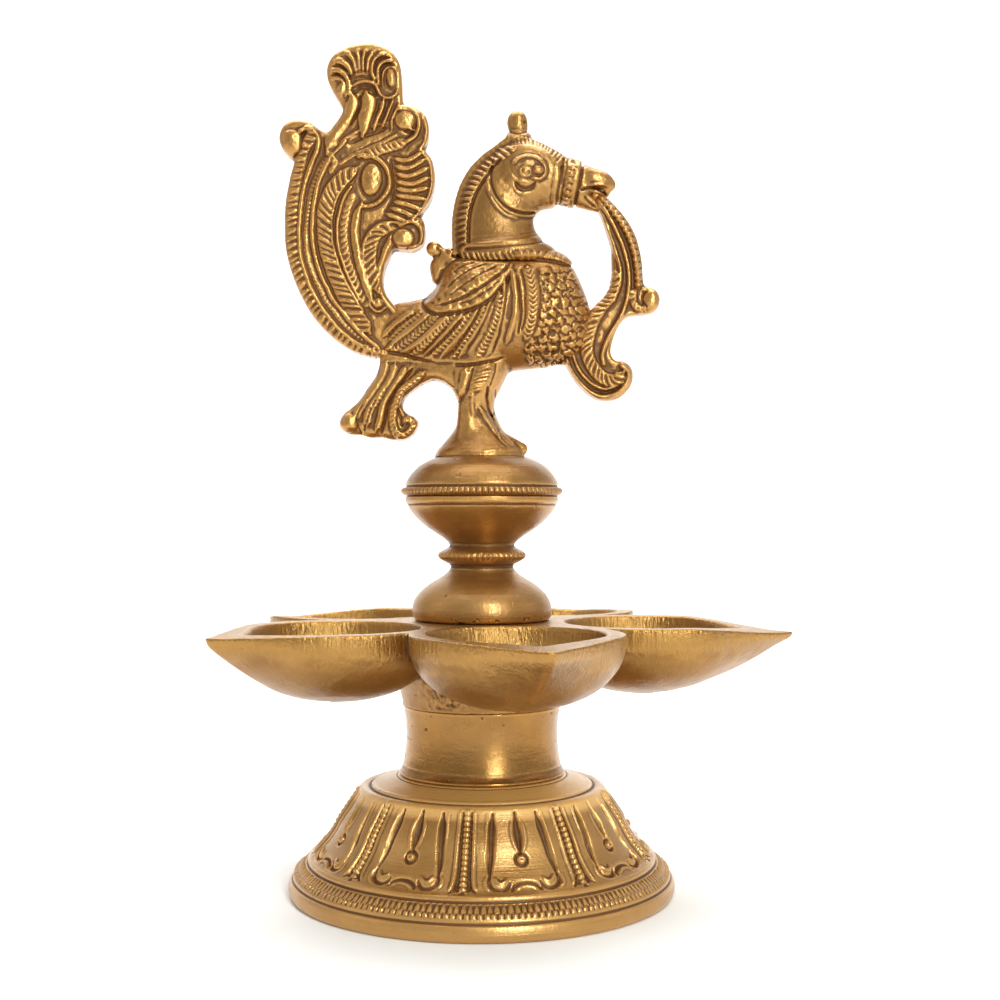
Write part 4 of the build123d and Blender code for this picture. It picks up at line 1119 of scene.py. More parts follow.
def foot_panel():
    """Relief of one of the nine panels: x is millimetres round from its centre, z is arc length down the profile."""
    top, low, end = v_at(23.0), v_at(8.4), v_at(0.3)
    R = Relief(-16.5, 16.5, 0.0, end + 1.0, 0.12)
    step = math.radians(40)

    def at(f, z):
        """A point a fraction f of the way from the panel's centre (0) to its edge (1)."""
        return (f * 0.5 * step * r_at(z), v_at(z))

    for s in (-1, 1):
        # divider: a row of beads between two sunk lines
        line = [at(s, z) for z in (23.2, 20.0, 17.0, 14.0, 11.0, 9.0)]
        R.stroke(line, 3.5, lambda q, a, side, d, run_: -0.62 * (1 - q**6) + 0 * a, "set", taper=(1.0, 0.5))
        R.stroke(line, 1.75, beads(1.05, 1.22, 0.86), "add")
        R.stroke(line, 1.5, lambda q, a, side, d, run_: 0.10 * (1 - q**2), "add")
        # thin rails that flare out at the foot of the divider
        R.stroke([at(s * 0.845, z) for z in (23.0, 20.0, 17.0, 14.0, 12.0)] + [at(s * 0.83, 10.0), at(s * 0.80, 9.0)], 0.95, ridge(0.32, 0.8), "max", taper=(0.6, 0.6))
        R.stroke([at(s * 0.90, 10.6), at(s * 0.86, 9.5), at(s * 0.80, 8.8)], 0.8, groove(0.5), "add", taper=(0.5, 0.4))
        R.stroke([at(s * 0.98, 9.6), at(s * 0.99, 8.6)], 1.1, groove(0.35), "add")
        # long side groove of the panel, tapering at both ends
        side_groove = [at(s * 0.47, 22.4), at(s * 0.50, 20.0), at(s * 0.53, 17.4), at(s * 0.555, 14.8), at(s * 0.575, 12.6), at(s * 0.575, 11.2)]
        R.stroke(side_groove, 1.85, lambda q, a, side, d, run_: -0.95 * (1 - q**2) ** 0.8, "min", taper=(3.2, 4.6))
        R.stroke([at(s * 0.595, z) for z in (22.4, 20.0, 17.4, 14.8, 12.6, 11.2, 10.4)], 0.9, ridge(0.26, 0.8), "add", taper=(2.5, 1.0))
        # lower ogee: a scoop at the corner and a small curl
        R.stroke([at(s * 0.590, 11.4), at(s * 0.585, 10.5), at(s * 0.55, 9.75), at(s * 0.47, 9.3), at(s * 0.36, 9.25), at(s * 0.28, 9.8), at(s * 0.25, 10.4)], 1.05, groove(0.72), "add", taper=(0.8, 0.9))
        R.stroke([at(s * 0.50, 11.2), at(s * 0.46, 10.5), at(s * 0.40, 10.2), at(s * 0.33, 10.5), at(s * 0.30, 11.0)], 0.75, ridge(0.34), "add", taper=(0.5, 0.6))
        R.stroke([at(s * 0.64, 11.2), at(s * 0.65, 10.0), at(s * 0.60, 9.2)], 0.8, ridge(0.24), "add", taper=(0.5, 0.5))
    # centre arch of the ogee
    R.stroke([at(-0.24, 9.0), at(-0.20, 9.7), at(-0.10, 10.15), at(0.02, 10.25), at(0.13, 10.05), at(0.21, 9.5), at(0.235, 9.0)], 0.95, groove(0.72), "add", taper=(0.4, 0.4))
    R.stroke([at(-0.15, 9.2), at(-0.08, 9.6), at(0.02, 9.7), at(0.11, 9.5), at(0.16, 9.1)], 0.7, ridge(0.22), "add", taper=(0.4, 0.4))
    # centre groove, drawn down to a ringed ball
    R.stroke([at(0, z) for z in (22.6, 20.4, 18.4, 16.8, 15.4)], 2.05, lambda q, a, side, d, run_: -0.98 * (1 - q**2) ** 0.8, "min", taper=(4.2, 3.6))
    R.stroke([at(-0.115, 21.0), at(-0.14, 19.0), at(-0.115, 17.0), at(-0.05, 15.4)], 0.7, ridge(0.22), "add", taper=(1.0, 1.0))
    R.stroke([at(0.115, 21.0), at(0.14, 19.0), at(0.115, 17.0), at(0.05, 15.4)], 0.7, ridge(0.22), "add", taper=(1.0, 1.0))
    c = at(0, 14.1)
    X = R.x[:, None] - c[0]
    Z = R.z[None, :] - c[1]
    d = np.sqrt(X**2 + Z**2)
    R.D = np.where(d < 1.55, -0.62 * np.clip(1 - ((d - 1.18) / 0.42) ** 2, 0, 1) + R.D * (d > 1.35), R.D)
    R.blob(c, 0.98, 0.98, 0.62, how="max", power=0.6)
    R.blob(c, 0.32, 0.32, -0.30, how="add")
    R.D = R.blur(0.09)
    # the panels stand proud of the plain border below them
    v = R.z[None, :]
    edge = 1 / (1 + np.exp((v - low) / 0.16))
    start = 1 / (1 + np.exp(-(v - (v_at(23.1) - 0.25)) / 0.16))
    R.D = R.D * edge * start + 0.0 * v
    return R


def build_foot(material):
    panel = foot_panel()
    groove1, groove2 = v_at(7.35), v_at(3.9)
    border = v_at(8.1)
    teeth_n = 189

    def relief(phi, v, r, z):
        # panel centres sit at azimuth -76 degrees and every 40 degrees from it
        deg = np.degrees(phi) + 76.0
        turn = (deg + 20.0) % 40.0 - 20.0
        number = np.floor((deg + 20.0) / 40.0) % 9
        a = np.radians(turn) * r
        outer = (r > 18.5) & (v < OUT_V[-1])
        h = panel.at(a, v) * outer
        # each panel was cut by hand: depth differs a little
        h = h * (1 + 0.16 * value_noise(number * 3.7, 0 * a, v * 0 + 1.0, 1.0, 21, 1)) * (1 + 0.10 * value_noise(a, v, number * 9.0, 1.6, 22, 2))
        # shoulder rings
        h = h - 0.40 * np.exp(-((v - 7.05) ** 2) / (2 * 0.20**2)) * outer
        h = h + 0.10 * np.exp(-((v - 6.2) ** 2) / (2 * 0.28**2)) * outer
        h = h - 0.16 * np.exp(-((v - 0.75) ** 2) / (2 * 0.16**2)) * outer
        # plain border, two sunk lines, and the punched band between them
        h = h + 0.16 * np.exp(-((v - border) ** 2) / (2 * 0.40**2)) * outer
        h = h - 0.55 * np.exp(-((v - groove1) ** 2) / (2 * 0.24**2)) * outer
        h = h - 0.42 * np.exp(-((v - groove2) ** 2) / (2 * 0.26**2)) * outer
        mid = 0.5 * (groove1 + groove2) + 0.35
        band = (v > groove1 + 0.45) & (v < groove2 - 0.45) & outer
        k = phi / (2 * math.pi) * teeth_n
        tooth = np.floor(k)
        f = k % 1.0 - 0.5 + 0.10 * value_noise(tooth * 1.7, 0 * v, 0 * v, 1.0, 31, 1)
        deep = 1 + 0.45 * value_noise(tooth * 1.3, 0 * v, 0 * v + 4, 1.0, 32, 1)
        # triangles punched with their points down, above a row of small beads
        vt = (v - (groove1 + 0.55)) / (mid - groove1 - 0.55)
        tri = np.clip((1 - np.abs(f) * 2.0 - np.clip(vt, 0, 1) * 0.92) * 3.0, 0, 1) * (vt > 0) * (vt < 1)
        dots = np.clip(1 - (f / 0.40) ** 2 - ((v - mid - 0.42) / 0.62) ** 2, 0, 1) ** 0.5
        cut = np.clip(1 - ((np.abs(f) - 0.5) / 0.10) ** 2, 0, 1) * np.clip(1 - ((v - mid - 0.42) / 0.75) ** 2, 0, 1)
        h = h + band * deep * (-0.34 * tri + 0.26 * dots - 0.22 * cut)
        return h

    def wobble(X, Y, Z, R):
        low = np.clip((8.0 - Z) / 6.0, 0, 1) * (R > 38)
        return 0.035 * value_noise(X, Y, Z, 5.0, 41, 3) + low * 0.10 * value_noise(X, Y, Z, 9.0, 42, 2)

    inner = np.vstack(
        [
            run([(41.9, 0.0), (40.2, 0.0)], 0.45),
            run([(40.2, 0.0), (39.4, 0.35), (39.1, 1.3), (38.3, 3.8), (34.4, 7.6), (30.4, 12.0), (27.8, 15.5), (25.1, 18.9), (20.5, 21.4), (10.5, 22.4)], 0.9, True),
            run([(10.5, 22.4), (9.0, 21.4), (9.0, 17.0), (4.0, 17.0), (4.0, 26.0)], 0.8),
            run([(4.0, 26.0), (18.4, 26.0)], 0.9),
        ]
    )
    around = 1296
    verts, quads = spin(np.vstack([OUT, inner]), around, True, relief, wobble)
    verts[:, 2] = np.maximum(verts[:, 2], 0.0)
    return piece("foot_casting", verts, quads, "foot", material, ("foot",), 7, 40)


# --------------------------------------------------------------------------
# Column
# --------------------------------------------------------------------------
def build_column(material):
    p = np.vstack(
        [
            [(0.0, 33.4)],
            run([(0.6, 33.4), (4.0, 33.4), (4.0, 26.02)], 0.8),
            run([(4.0, 26.02), (17.9, 26.02)], 0.8),
            run([(17.9, 26.02), (18.45, 26.2), (18.55, 26.6), (18.2, 27.15), (17.85, 27.8)], 0.16, True),
            run([(17.85, 27.8), (17.35, 30.5), (17.05, 34.0), (17.1, 37.5), (17.4, 39.8), (17.62, 41.1)], 0.22, True),
            run([(17.62, 41.1), (17.64, 41.44)], 0.15),
            run([(17.60, 41.48), (4.0, 41.48)], 0.8),
            run([(4.0, 41.48), (4.0, 34.1), (0.6, 34.1)], 0.8),
            [(0.6, 34.1), (0.0, 34.1)],
        ]
    )

    def relief(phi, v, r, z):
        h = -0.03 * np.exp(-((z - 28.15) ** 2) / (2 * 0.16**2)) * (r > 15)
        h = h + 0.02 * np.exp(-((z - 28.7) ** 2) / (2 * 0.2**2)) * (r > 15)
        return h

    def wobble(X, Y, Z, R):
        n = 0.05 * value_noise(X, Y, Z, 6.0, 51, 3) + 0.016 * value_noise(X, Y, Z * 6, 2.2, 52, 2)
        pit = value_noise(X, Y, Z, 1.5, 53, 2)
        n = n - 0.16 * np.clip((pit - 0.52) / 0.3, 0, 1) * (Z > 30)
        return n * (R > 16)

    verts, quads = spin(p, 720, False, relief, wobble)
    return piece("column_casting", verts, quads, "column", material, ("column",), 6, 40)


# --------------------------------------------------------------------------
# Baluster and vase cap
# --------------------------------------------------------------------------
def build_baluster(material):
    p = np.vstack(
        [
            [(0.0, 68.1)],
            run([(0.6, 68.1), (4.0, 68.1), (4.0, 60.32)], 0.8),
            run([(4.0, 60.32), (14.4, 60.32)], 0.8),
            run([(14.4, 60.32), (15.1, 60.55), (15.55, 61.2), (15.72, 62.3), (15.6, 63.7), (15.1, 65.1), (13.9, 66.7), (11.8, 68.45), (9.3, 69.95),
                 (7.6, 71.3), (7.15, 72.2), (7.3, 72.9)], FINE, True),
            run([(7.3, 72.9), (8.1, 73.3), (9.1, 73.9), (9.7, 74.5), (9.8, 75.0), (9.4, 75.7), (8.3, 76.3), (7.5, 76.75), (7.3, 77.2), (7.5, 77.75)], FINE * 0.8, True),
            run([(7.5, 77.75), (9.2, 79.1), (12.0, 80.95), (14.1, 82.75), (15.8, 84.6), (16.75, 86.2), (17.2, 87.4)], FINE, True),
            run([(17.2, 87.4), (17.25, 87.95), (16.9, 88.18)], 0.15),
            run([(16.9, 88.18), (14.45, 88.18), (14.45, 86.7)], 0.5),
            run([(14.45, 86.7), (12.9, 84.9), (10.4, 83.0), (7.0, 81.6)], 0.7, True),
            run([(7.0, 81.6), (0.6, 81.3)], 0.9),
            [(0.6, 81.3), (0.0, 81.3)],
        ]
    )
    n_ribs = 46

    def relief(phi, v, r, z):
        w = 0.5 + 0.5 * np.cos(phi * n_ribs)
        band = np.clip(1 - ((z - 74.75) / 1.05) ** 2, 0, 1) * (r > 8.3)
        worn = 0.75 + 0.35 * value_noise(np.cos(phi) * 3, np.sin(phi) * 3, 0 * z, 1.6, 62, 1)
        h = 0.30 * (w**0.8 - 0.55) * band * worn
        h = h - 0.12 * np.exp(-((z - 72.35) ** 2) / (2 * 0.22**2)) * (r > 6.5) * (r < 9)
        h = h + 0.10 * np.exp(-((z - 86.95) ** 2) / (2 * 0.30**2)) * (r > 15.5)
        h = h - 0.14 * np.exp(-((z - 86.2) ** 2) / (2 * 0.18**2)) * (r > 15.5)
        return h

    def wobble(X, Y, Z, R):
        out = R > 6.6
        n = 0.05 * value_noise(X, Y, Z, 5.0, 63, 3) + 0.014 * value_noise(X, Y, Z * 6, 2.0, 64, 2)
        pit = value_noise(X, Y, Z, 1.1, 65, 2)
        chips = np.clip((pit - 0.30) / 0.25, 0, 1) * np.clip((61.9 - Z) / 0.8, 0, 1) * (R > 14.2)
        n = n - 0.30 * chips
        n = n - 0.10 * np.clip((value_noise(X, Y, Z, 1.3, 66, 2) - 0.58) / 0.3, 0, 1)
        return n * out

    verts, quads = spin(p, 720, False, relief, wobble)
    return piece("baluster_casting", verts, quads, "finial", material, ("baluster",), 6, 40)


def build_cap(material):
    p = np.vstack(
        [
            run([(2.52, 97.0), (2.52, 94.4), (8.6, 94.1), (11.9, 92.9), (13.3, 90.8), (13.0, 86.9), (14.28, 86.9), (14.28, 88.22)], 0.8),
            run([(14.28, 88.22), (16.9, 88.22)], 0.5),
            run([(16.9, 88.22), (17.2, 88.3), (17.75, 88.62), (18.05, 89.0), (18.12, 89.3), (18.02, 89.68), (17.7, 90.0), (17.25, 90.2), (17.2, 90.45)], 0.13, True),
            run([(17.2, 90.45), (16.95, 91.5), (16.1, 92.95), (14.5, 94.7), (12.3, 96.1), (10.6, 96.82)], FINE, True),
            run([(10.6, 96.82), (10.2, 96.98)], 0.2),
            run([(10.2, 96.98), (2.52, 96.98)], 0.8),
        ]
    )
    n_beads = 88

    def relief(phi, v, r, z):
        k = phi / (2 * math.pi) * n_beads
        f = k % 1.0 - 0.5 + 0.10 * value_noise(np.floor(k) * 1.7, 0 * z, 0 * z, 1.0, 71, 1)
        across = np.clip(1 - (f / 0.46) ** 2, 0, 1) ** 0.5
        up = np.clip(1 - ((z - 89.32) / 0.80) ** 2, 0, 1) ** 0.5
        girdle = (r > 17.15) & (z < 90.3)
        worn = 0.8 + 0.4 * value_noise(np.cos(phi) * 5, np.sin(phi) * 5, 0 * z, 2.0, 72, 2)
        h = (0.34 * across * worn - 0.20) * up * girdle
        h = h - 0.22 * np.exp(-((z - 90.45) ** 2) / (2 * 0.14**2)) * (r > 16)
        h = h + 0.08 * np.exp(-((z - 91.0) ** 2) / (2 * 0.22**2)) * (r > 16)
        return h

    def wobble(X, Y, Z, R):
        n = 0.06 * value_noise(X, Y, Z, 4.5, 73, 3) + 0.012 * value_noise(X, Y, Z * 6, 1.8, 74, 2)
        n = n - 0.10 * np.clip((value_noise(X, Y, Z, 1.2, 75, 2) - 0.56) / 0.3, 0, 1)
        return n * (R > 10.4) * (Z > 88.3)

    verts, quads = spin(p, 1056, True, relief, wobble)
    return piece("vase_cap_casting", verts, quads, "finial", material, ("vase_cap",), 6, 40)


# --------------------------------------------------------------------------
# Dish with its five spouted cups
# --------------------------------------------------------------------------
RIM_Z = 60.3
CUPS = [(-79.0, 67.3, 0.9), (-8.0, 69.0, 1.9), (65.0, 67.5, 1.8), (142.0, 67.4, 2.4), (213.0, 66.0, 1.0)]


def build_dish(material):
    h = 0.32
    clay = Clay((-63.4, -69.6, 40.6), (70.2, 65.4, 61.6), h)
    X, Y, Z = clay.x[:, None, None], clay.y[None, :, None], clay.z[None, None, :]

    def cup(levels, u, w, tip_r, z, floor=None):
        """Distance to a cup: a round drawn out to a spout, its section changing with height."""
        q = np.array(sorted(levels), float)
        zz, c, r, tip = q.T
        fine = np.linspace(zz[0], zz[-1], 160)
        # smooth interpolation of the section's figures
        def cs(vals):
            pts = smooth(np.stack([zz, vals], 1), 0.15)
            return np.interp(fine, pts[:, 0], pts[:, 1])
        c, r, tip = cs(c), cs(r), cs(tip)
        C, Rr, T = (np.interp(z, fine, a)[None, None, :] for a in (c, r, tip))
        slope = np.interp(z, fine, np.gradient(r, fine))
        # below the lowest level the section goes on closing
        below = np.clip(zz[0] - z, 0, None)[None, None, :]
        Rr = Rr - 6.0 * below
        r2 = np.clip(tip_r * np.clip(Rr / 12.0, 0.15, 1), 0.1, None)
        if floor is not None:
            # inside, the spout's valley rounds out towards a soft floor
            up = np.clip((z - floor) / (RIM_Z - floor), 0, 1)[None, None, :]
            r2 = np.maximum(np.minimum(tip_r * (1 + 3.4 * (1 - up)), 0.75 * Rr), 0.1)
        r2 = np.minimum(r2, Rr)
        H = np.maximum(T - C - r2, 0.5)
        b = np.clip((Rr - r2) / H, -0.98, 0.98)
        a = np.sqrt(1 - b * b)
        px, py = np.abs(w), u - C
        k = -b * px + a * py
        d = np.where(
            k < 0,
            np.sqrt(px**2 + py**2) - Rr,
            np.where(k > a * H, np.sqrt(px**2 + (py - H) ** 2) - r2, px * a + py * b - Rr),
        )
        d = d / np.sqrt(1 + np.clip(slope, 0, 4) ** 2)[None, None, :]
        if floor is not None:
            low = (floor - z)[None, None, :] + 0 * d
            k = np.clip(0.5 + 0.5 * (d - low) / 1.4, 0, 1)
            d = d * k + low * (1 - k) + 1.4 * k * (1 - k)
        return d

    # hub, spun from its profile
    prof = [(0.0, 41.5), (17.82, 41.5), (17.86, 42.4), (18.3, 44.6), (19.6, 47.4), (21.9, 51.0), (24.6, 54.4), (27.0, 57.6), (28.0, 60.3), (28.0, 66.0), (0.0, 66.0)]
    rr = np.arange(0, 34, 0.25)
    RR, ZZ = np.meshgrid(rr, clay.z, indexing="ij")
    table = polygon(RR, ZZ, prof[1:-1] + [(-r, z) for r, z in prof[1:-1]][::-1])
    rad = np.sqrt(X**2 + Y**2)[:, :, 0]
    idx = np.clip(rad / 0.25, 0, len(rr) - 1.001)
    i0 = idx.astype(int)
    f = (idx - i0)[:, :, None]
    hub = table[i0] * (1 - f) + table[i0 + 1] * f
    hub = np.where(rad[:, :, None] > 33, 8.0, hub)
    clay.F[...] = np.minimum(clay.F, hub)
    outer_cut = []
    for n, (turn, reach, droop) in enumerate(CUPS):
        d = reach - 67.5
        t = math.radians(turn)
        ca, sa = math.cos(t), math.sin(t)
        # window round the cup
        corners = np.array([(u * ca - w * sa, u * sa + w * ca) for u in (12, reach + 3) for w in (-24, 24)])
        lo = (corners[:, 0].min(), corners[:, 1].min(), 40.0)
        hi = (corners[:, 0].max(), corners[:, 1].max(), 62.0)
        win, wx, wy, wz = clay.window(lo, hi)
        u = wx * ca + wy * sa
        w = -wx * sa + wy * ca
        z = wz.ravel()
        # cast by hand: each cup leans and swells a little differently
        bend = 0.30 * value_noise(wx + 0 * wy, wy + 0 * wx, np.full_like(wx + wy, 7.0 * n), 14.0, 81 + n, 2)
        levels = [
            (61.5, 37.0, 21.7, reach + 0.1), (60.3, 37.0, 21.7, reach), (58.6, 37.0, 21.75, reach - 0.2), (57.2, 37.0, 21.6, reach - 0.9 + 0.1 * d), (55.4, 36.9, 21.15, 63.9 + 0.8 * d),
            (52.8, 36.7, 19.9, 60.0 + 0.6 * d), (49.7, 36.4, 17.1, 54.6 + 0.4 * d), (47.4, 36.0, 13.4, 49.6), (46.0, 35.6, 9.6, 45.2), (45.2, 35.4, 6.0, 41.2), (44.75, 35.3, 2.6, 38.0),
        ]
        dist = cup(levels, u, w, 1.35, z) + bend
        clay.put(dist, win, 1.6 if n % 2 else 1.3)
        outer_cut.append((win, u, w, z, droop, reach))
    for n, (win, u, w, z, droop, reach) in enumerate(outer_cut):
        levels = [
            (62.5, 36.6, 18.2, 58.8), (60.3, 36.6, 18.0, 58.2), (59.0, 36.6, 17.8, 57.4), (56.0, 36.5, 17.0, 55.2), (53.0, 36.3, 15.2, 52.3), (50.5, 36.0, 12.0, 48.6),
            (48.9, 35.8, 8.0, 44.2), (48.1, 35.6, 4.4, 40.4), (47.8, 35.5, 1.8, 38.0),
        ]
        dist = cup(levels, u, w, 0.9, z, 48.0)
        zz = z[None, None, :]
        t = np.clip((u - 44.0) / 23.5, 0, 1)
        top = RIM_Z - droop * t * t * (3 - 2 * t) - 0.06 * value_noise(u, w, np.full_like(u, 3.0 * n), 5.0, 91 + n, 2)
        cur = clay.F[win]
        np.maximum(cur, ((zz - top) * (u > 20) + (-9.0) * (u <= 20)).astype(np.float32), out=cur)
        clay.put(dist, win, 0.7, "cut")
    # flat rim plane and the underside
    np.maximum(clay.F, (Z - RIM_Z).astype(np.float32) + 0 * clay.F, out=clay.F)
    np.maximum(clay.F, (41.5 - Z).astype(np.float32) + 0 * clay.F, out=clay.F)
    # stud holes
    hole = 4.0 - np.sqrt(X**2 + Y**2)
    for a, b in ((40.0, 49.3), (52.5, 63.0)):
        k = np.minimum(np.minimum(hole, Z - a), b - Z)
        np.maximum(clay.F, k.astype(np.float32), out=clay.F)
    v, q = clay.mesh("dish")
    # rough patches left from the mould between the cups, under the rim
    x, y, z = v.T
    r = np.hypot(x, y)
    az = np.degrees(np.arctan2(y, x)) % 360
    rough = np.zeros(len(v))
    for centre, width, gain in ((247.5, 17.0, 1.0), (316.0, 9.0, 0.45), (28.0, 9.0, 0.35), (103.0, 12.0, 0.6), (177.0, 9.0, 0.4)):
        dz = (az - centre + 180) % 360 - 180
        rough = np.maximum(rough, gain * np.exp(-((dz / width) ** 2)))
    rough = rough * np.clip((r - 15.0) / 2.0, 0, 1) * np.clip((33.0 - r) / 5.0, 0, 1) * np.clip((z - 41.7) / 1.2, 0, 1) * np.clip((59.0 - z) / 2.5, 0, 1)
    lump = 0.15 + value_noise(x, y, z, 2.0, 101, 2) * 0.30 + value_noise(x, y, z, 0.9, 102, 2) * 0.42
    n0 = np.stack([x / np.maximum(r, 1), y / np.maximum(r, 1), np.full_like(x, -0.5)], 1)
    body = ((r > 6) & (z < 59.9) & (z > 41.9)).astype(float)
    skin_ = body * (0.10 * value_noise(x, y, z, 5.0, 103, 3) + 0.035 * value_noise(x, y, z, 1.7, 105, 2) - 0.12 * np.clip((value_noise(x, y, z, 1.4, 104, 2) - 0.60) / 0.3, 0, 1))
    v = v + n0 * (rough * lump + skin_)[:, None]
    # the hub's lower edge is crisp, so that it closes on the column
    w = np.exp(-((r - 17.75) ** 2 + (z - 41.6) ** 2) / (2 * 0.16**2))
    v[:, 0] += 0.10 * w * x / np.maximum(r, 1)
    v[:, 1] += 0.10 * w * y / np.maximum(r, 1)
    v[:, 2] = np.maximum(v[:, 2] - 0.12 * w, 41.5)
    v[:, 2] = np.minimum(v[:, 2], RIM_Z + 0.01)
    return piece("five_wick_dish_casting", v, q, "dish", material, ("five_wick_dish",), 6, 40)


# --------------------------------------------------------------------------
# Materials: cast brass with an antique finish, with some light and shade painted into its colour
# --------------------------------------------------------------------------
def brass(
    name,
    bright=(0.46, 0.238, 0.066),
    mid=(0.345, 0.170, 0.044),
    dark=(0.110, 0.044, 0.015),
    rough=(0.28, 0.41),
    recess=(0.004, 0.050),
    hollow=(0.10, 0.75),
    wax_and_shade_strength=1.0,
    pits=0.35,
    pit_scale=2600,
    grain="cast",
    bump=0.50,
    metal=0.88,
    skin=0.30,
    painted_light_above=None,
    dull=(0.36, 0.22, 0.11),
    dull_amount=0.0,
    coat=0.32,
):
    m = bpy.data.materials.new(name)
    m.use_nodes = True
    nt = m.node_tree
    N, L = nt.nodes, nt.links
    bsdf = N["Principled BSDF"]

    def node(kind, **kw):
        n = N.new(kind)
        for k, v in kw.items():
            setattr(n, k, v)
        return n

    def put(sock, v):
        if isinstance(v, bpy.types.NodeSocket):
            L.new(v, sock)
        else:
            sock.default_value = v

    def ramp(v, a, b, lo=0.0, hi=1.0, smooth=True):
        n = node("ShaderNodeMapRange", interpolation_type="SMOOTHSTEP" if smooth else "LINEAR")
        put(n.inputs["Value"], v)
        n.inputs["From Min"].default_value = a
        n.inputs["From Max"].default_value = b
        n.inputs["To Min"].default_value = lo
        n.inputs["To Max"].default_value = hi
        return n.outputs["Result"]

    def math_(op, a, b=0.0, clamp=False):
        n = node("ShaderNodeMath", operation=op, use_clamp=clamp)
        put(n.inputs[0], a)
        put(n.inputs[1], b)
        return n.outputs[0]

    def mix(f, a, b, kind="MIX"):
        n = node("ShaderNodeMix", data_type="RGBA", blend_type=kind, clamp_factor=True)
        put(n.inputs[0], f)
        for s, v in ((n.inputs[6], a), (n.inputs[7], b)):
            put(s, v if isinstance(v, bpy.types.NodeSocket) else (*v, 1.0))
        return n.outputs[2]

    tc = node("ShaderNodeTexCoord")
    pos = tc.outputs["Object"]

    def noise(scale, detail=4.0, rough_=0.55, stretch=None, seed=0.0):
        v = pos
        if stretch or seed:
            mp = node("ShaderNodeMapping")
            L.new(pos, mp.inputs["Vector"])
            if stretch:
                mp.inputs["Scale"].default_value = stretch
            mp.inputs["Location"].default_value = (seed, seed * 0.7, -seed)
            v = mp.outputs["Vector"]
        n = node("ShaderNodeTexNoise")
        L.new(v, n.inputs["Vector"])
        n.inputs["Scale"].default_value = scale
        n.inputs["Detail"].default_value = detail
        n.inputs["Roughness"].default_value = rough_
        return n.outputs["Fac"]

    at = node("ShaderNodeAttribute", attribute_name="recess").outputs["Fac"]
    hol = node("ShaderNodeAttribute", attribute_name="hollow").outputs["Fac"]
    blotch = noise(70, 5.0, 0.62, seed=3.1)
    speck = noise(900, 3.0, 0.6, seed=1.7)
    fine = noise(pit_scale, 2.0, 0.5, seed=5.2)

    # how much dark wax is left in the fine recesses, a real patina, and painted shade that darkens the broad hollows
    jit = math_("MULTIPLY", math_("SUBTRACT", speck, 0.5), 0.030)
    near = ramp(math_("ADD", at, jit), recess[0], recess[1])
    # painted shade: far darkens broad hollows and concave joints, where shade falls
    far = math_("MULTIPLY", ramp(math_("ADD", hol, math_("MULTIPLY", math_("SUBTRACT", blotch, 0.5), 0.35)), hollow[0], hollow[1]), 0.62)
    wax_and_painted_shade = math_("MULTIPLY", math_("MAXIMUM", near, far), wax_and_shade_strength, clamp=True)
    # ridges rubbed bright
    worn = ramp(math_("MULTIPLY", at, -1.0), 0.002, 0.040)
    tarn = ramp(blotch, 0.34, 0.70)
    base = mix(tarn, mid, bright)
    base = mix(math_("MULTIPLY", worn, 0.75), base, tuple(min(1.0, c * 1.12) for c in bright))
    if dull_amount:
        base = mix(math_("MULTIPLY", ramp(noise(38, 6.0, 0.66, seed=9.3), 0.46, 0.64), dull_amount), base, dull)
    spots = ramp(fine, 0.60, 0.78)
    base = mix(math_("MULTIPLY", spots, pits), base, dark)
    xyz = node("ShaderNodeSeparateXYZ")
    L.new(pos, xyz.inputs[0])
    near_rim = 0.0
    if grain == "filed":
        # the band filed smooth under the rim
        near_rim = ramp(math_("ADD", xyz.outputs["Z"], math_("MULTIPLY", math_("SUBTRACT", blotch, 0.5), 0.012)), 0.0535, 0.0560)
        base = mix(math_("MULTIPLY", near_rim, 0.40), base, (0.45, 0.250, 0.064))
    # painted light: above this height the foot's shoulder is mixed towards a much lighter brass, so that it reads lit
    if painted_light_above:
        base = mix(ramp(xyz.outputs["Z"], painted_light_above, painted_light_above + 0.0015, 0.0, 0.9), base, (0.74, 0.42, 0.132))
    # dark wax in the fine recesses and painted shade in the broad hollows, mixed towards the dark colour
    base = mix(math_("MULTIPLY", wax_and_painted_shade, 0.90), base, dark)
    L.new(base, bsdf.inputs["Base Color"])
    shine = ramp(wax_and_painted_shade, 0.0, 1.0, metal, metal - 0.15, False)
    # the shoulder painted lighter is also made less metallic
    if painted_light_above:
        shine = math_("SUBTRACT", shine, ramp(xyz.outputs["Z"], painted_light_above, painted_light_above + 0.0015, 0.0, 0.48))
    put(bsdf.inputs["Metallic"], shine)
    r = ramp(noise(160, 5.0, 0.6, seed=7.7), 0.30, 0.72, rough[0], rough[1], False)
    r = math_("ADD", r, math_("MULTIPLY", wax_and_painted_shade, 0.20))
    r = math_("SUBTRACT", r, math_("MULTIPLY", worn, 0.06))
    r = math_("SUBTRACT", r, math_("MULTIPLY", near_rim, 0.05))
    r = math_("ADD", r, math_("MULTIPLY", speck, 0.05), clamp=True)
    L.new(r, bsdf.inputs["Roughness"])

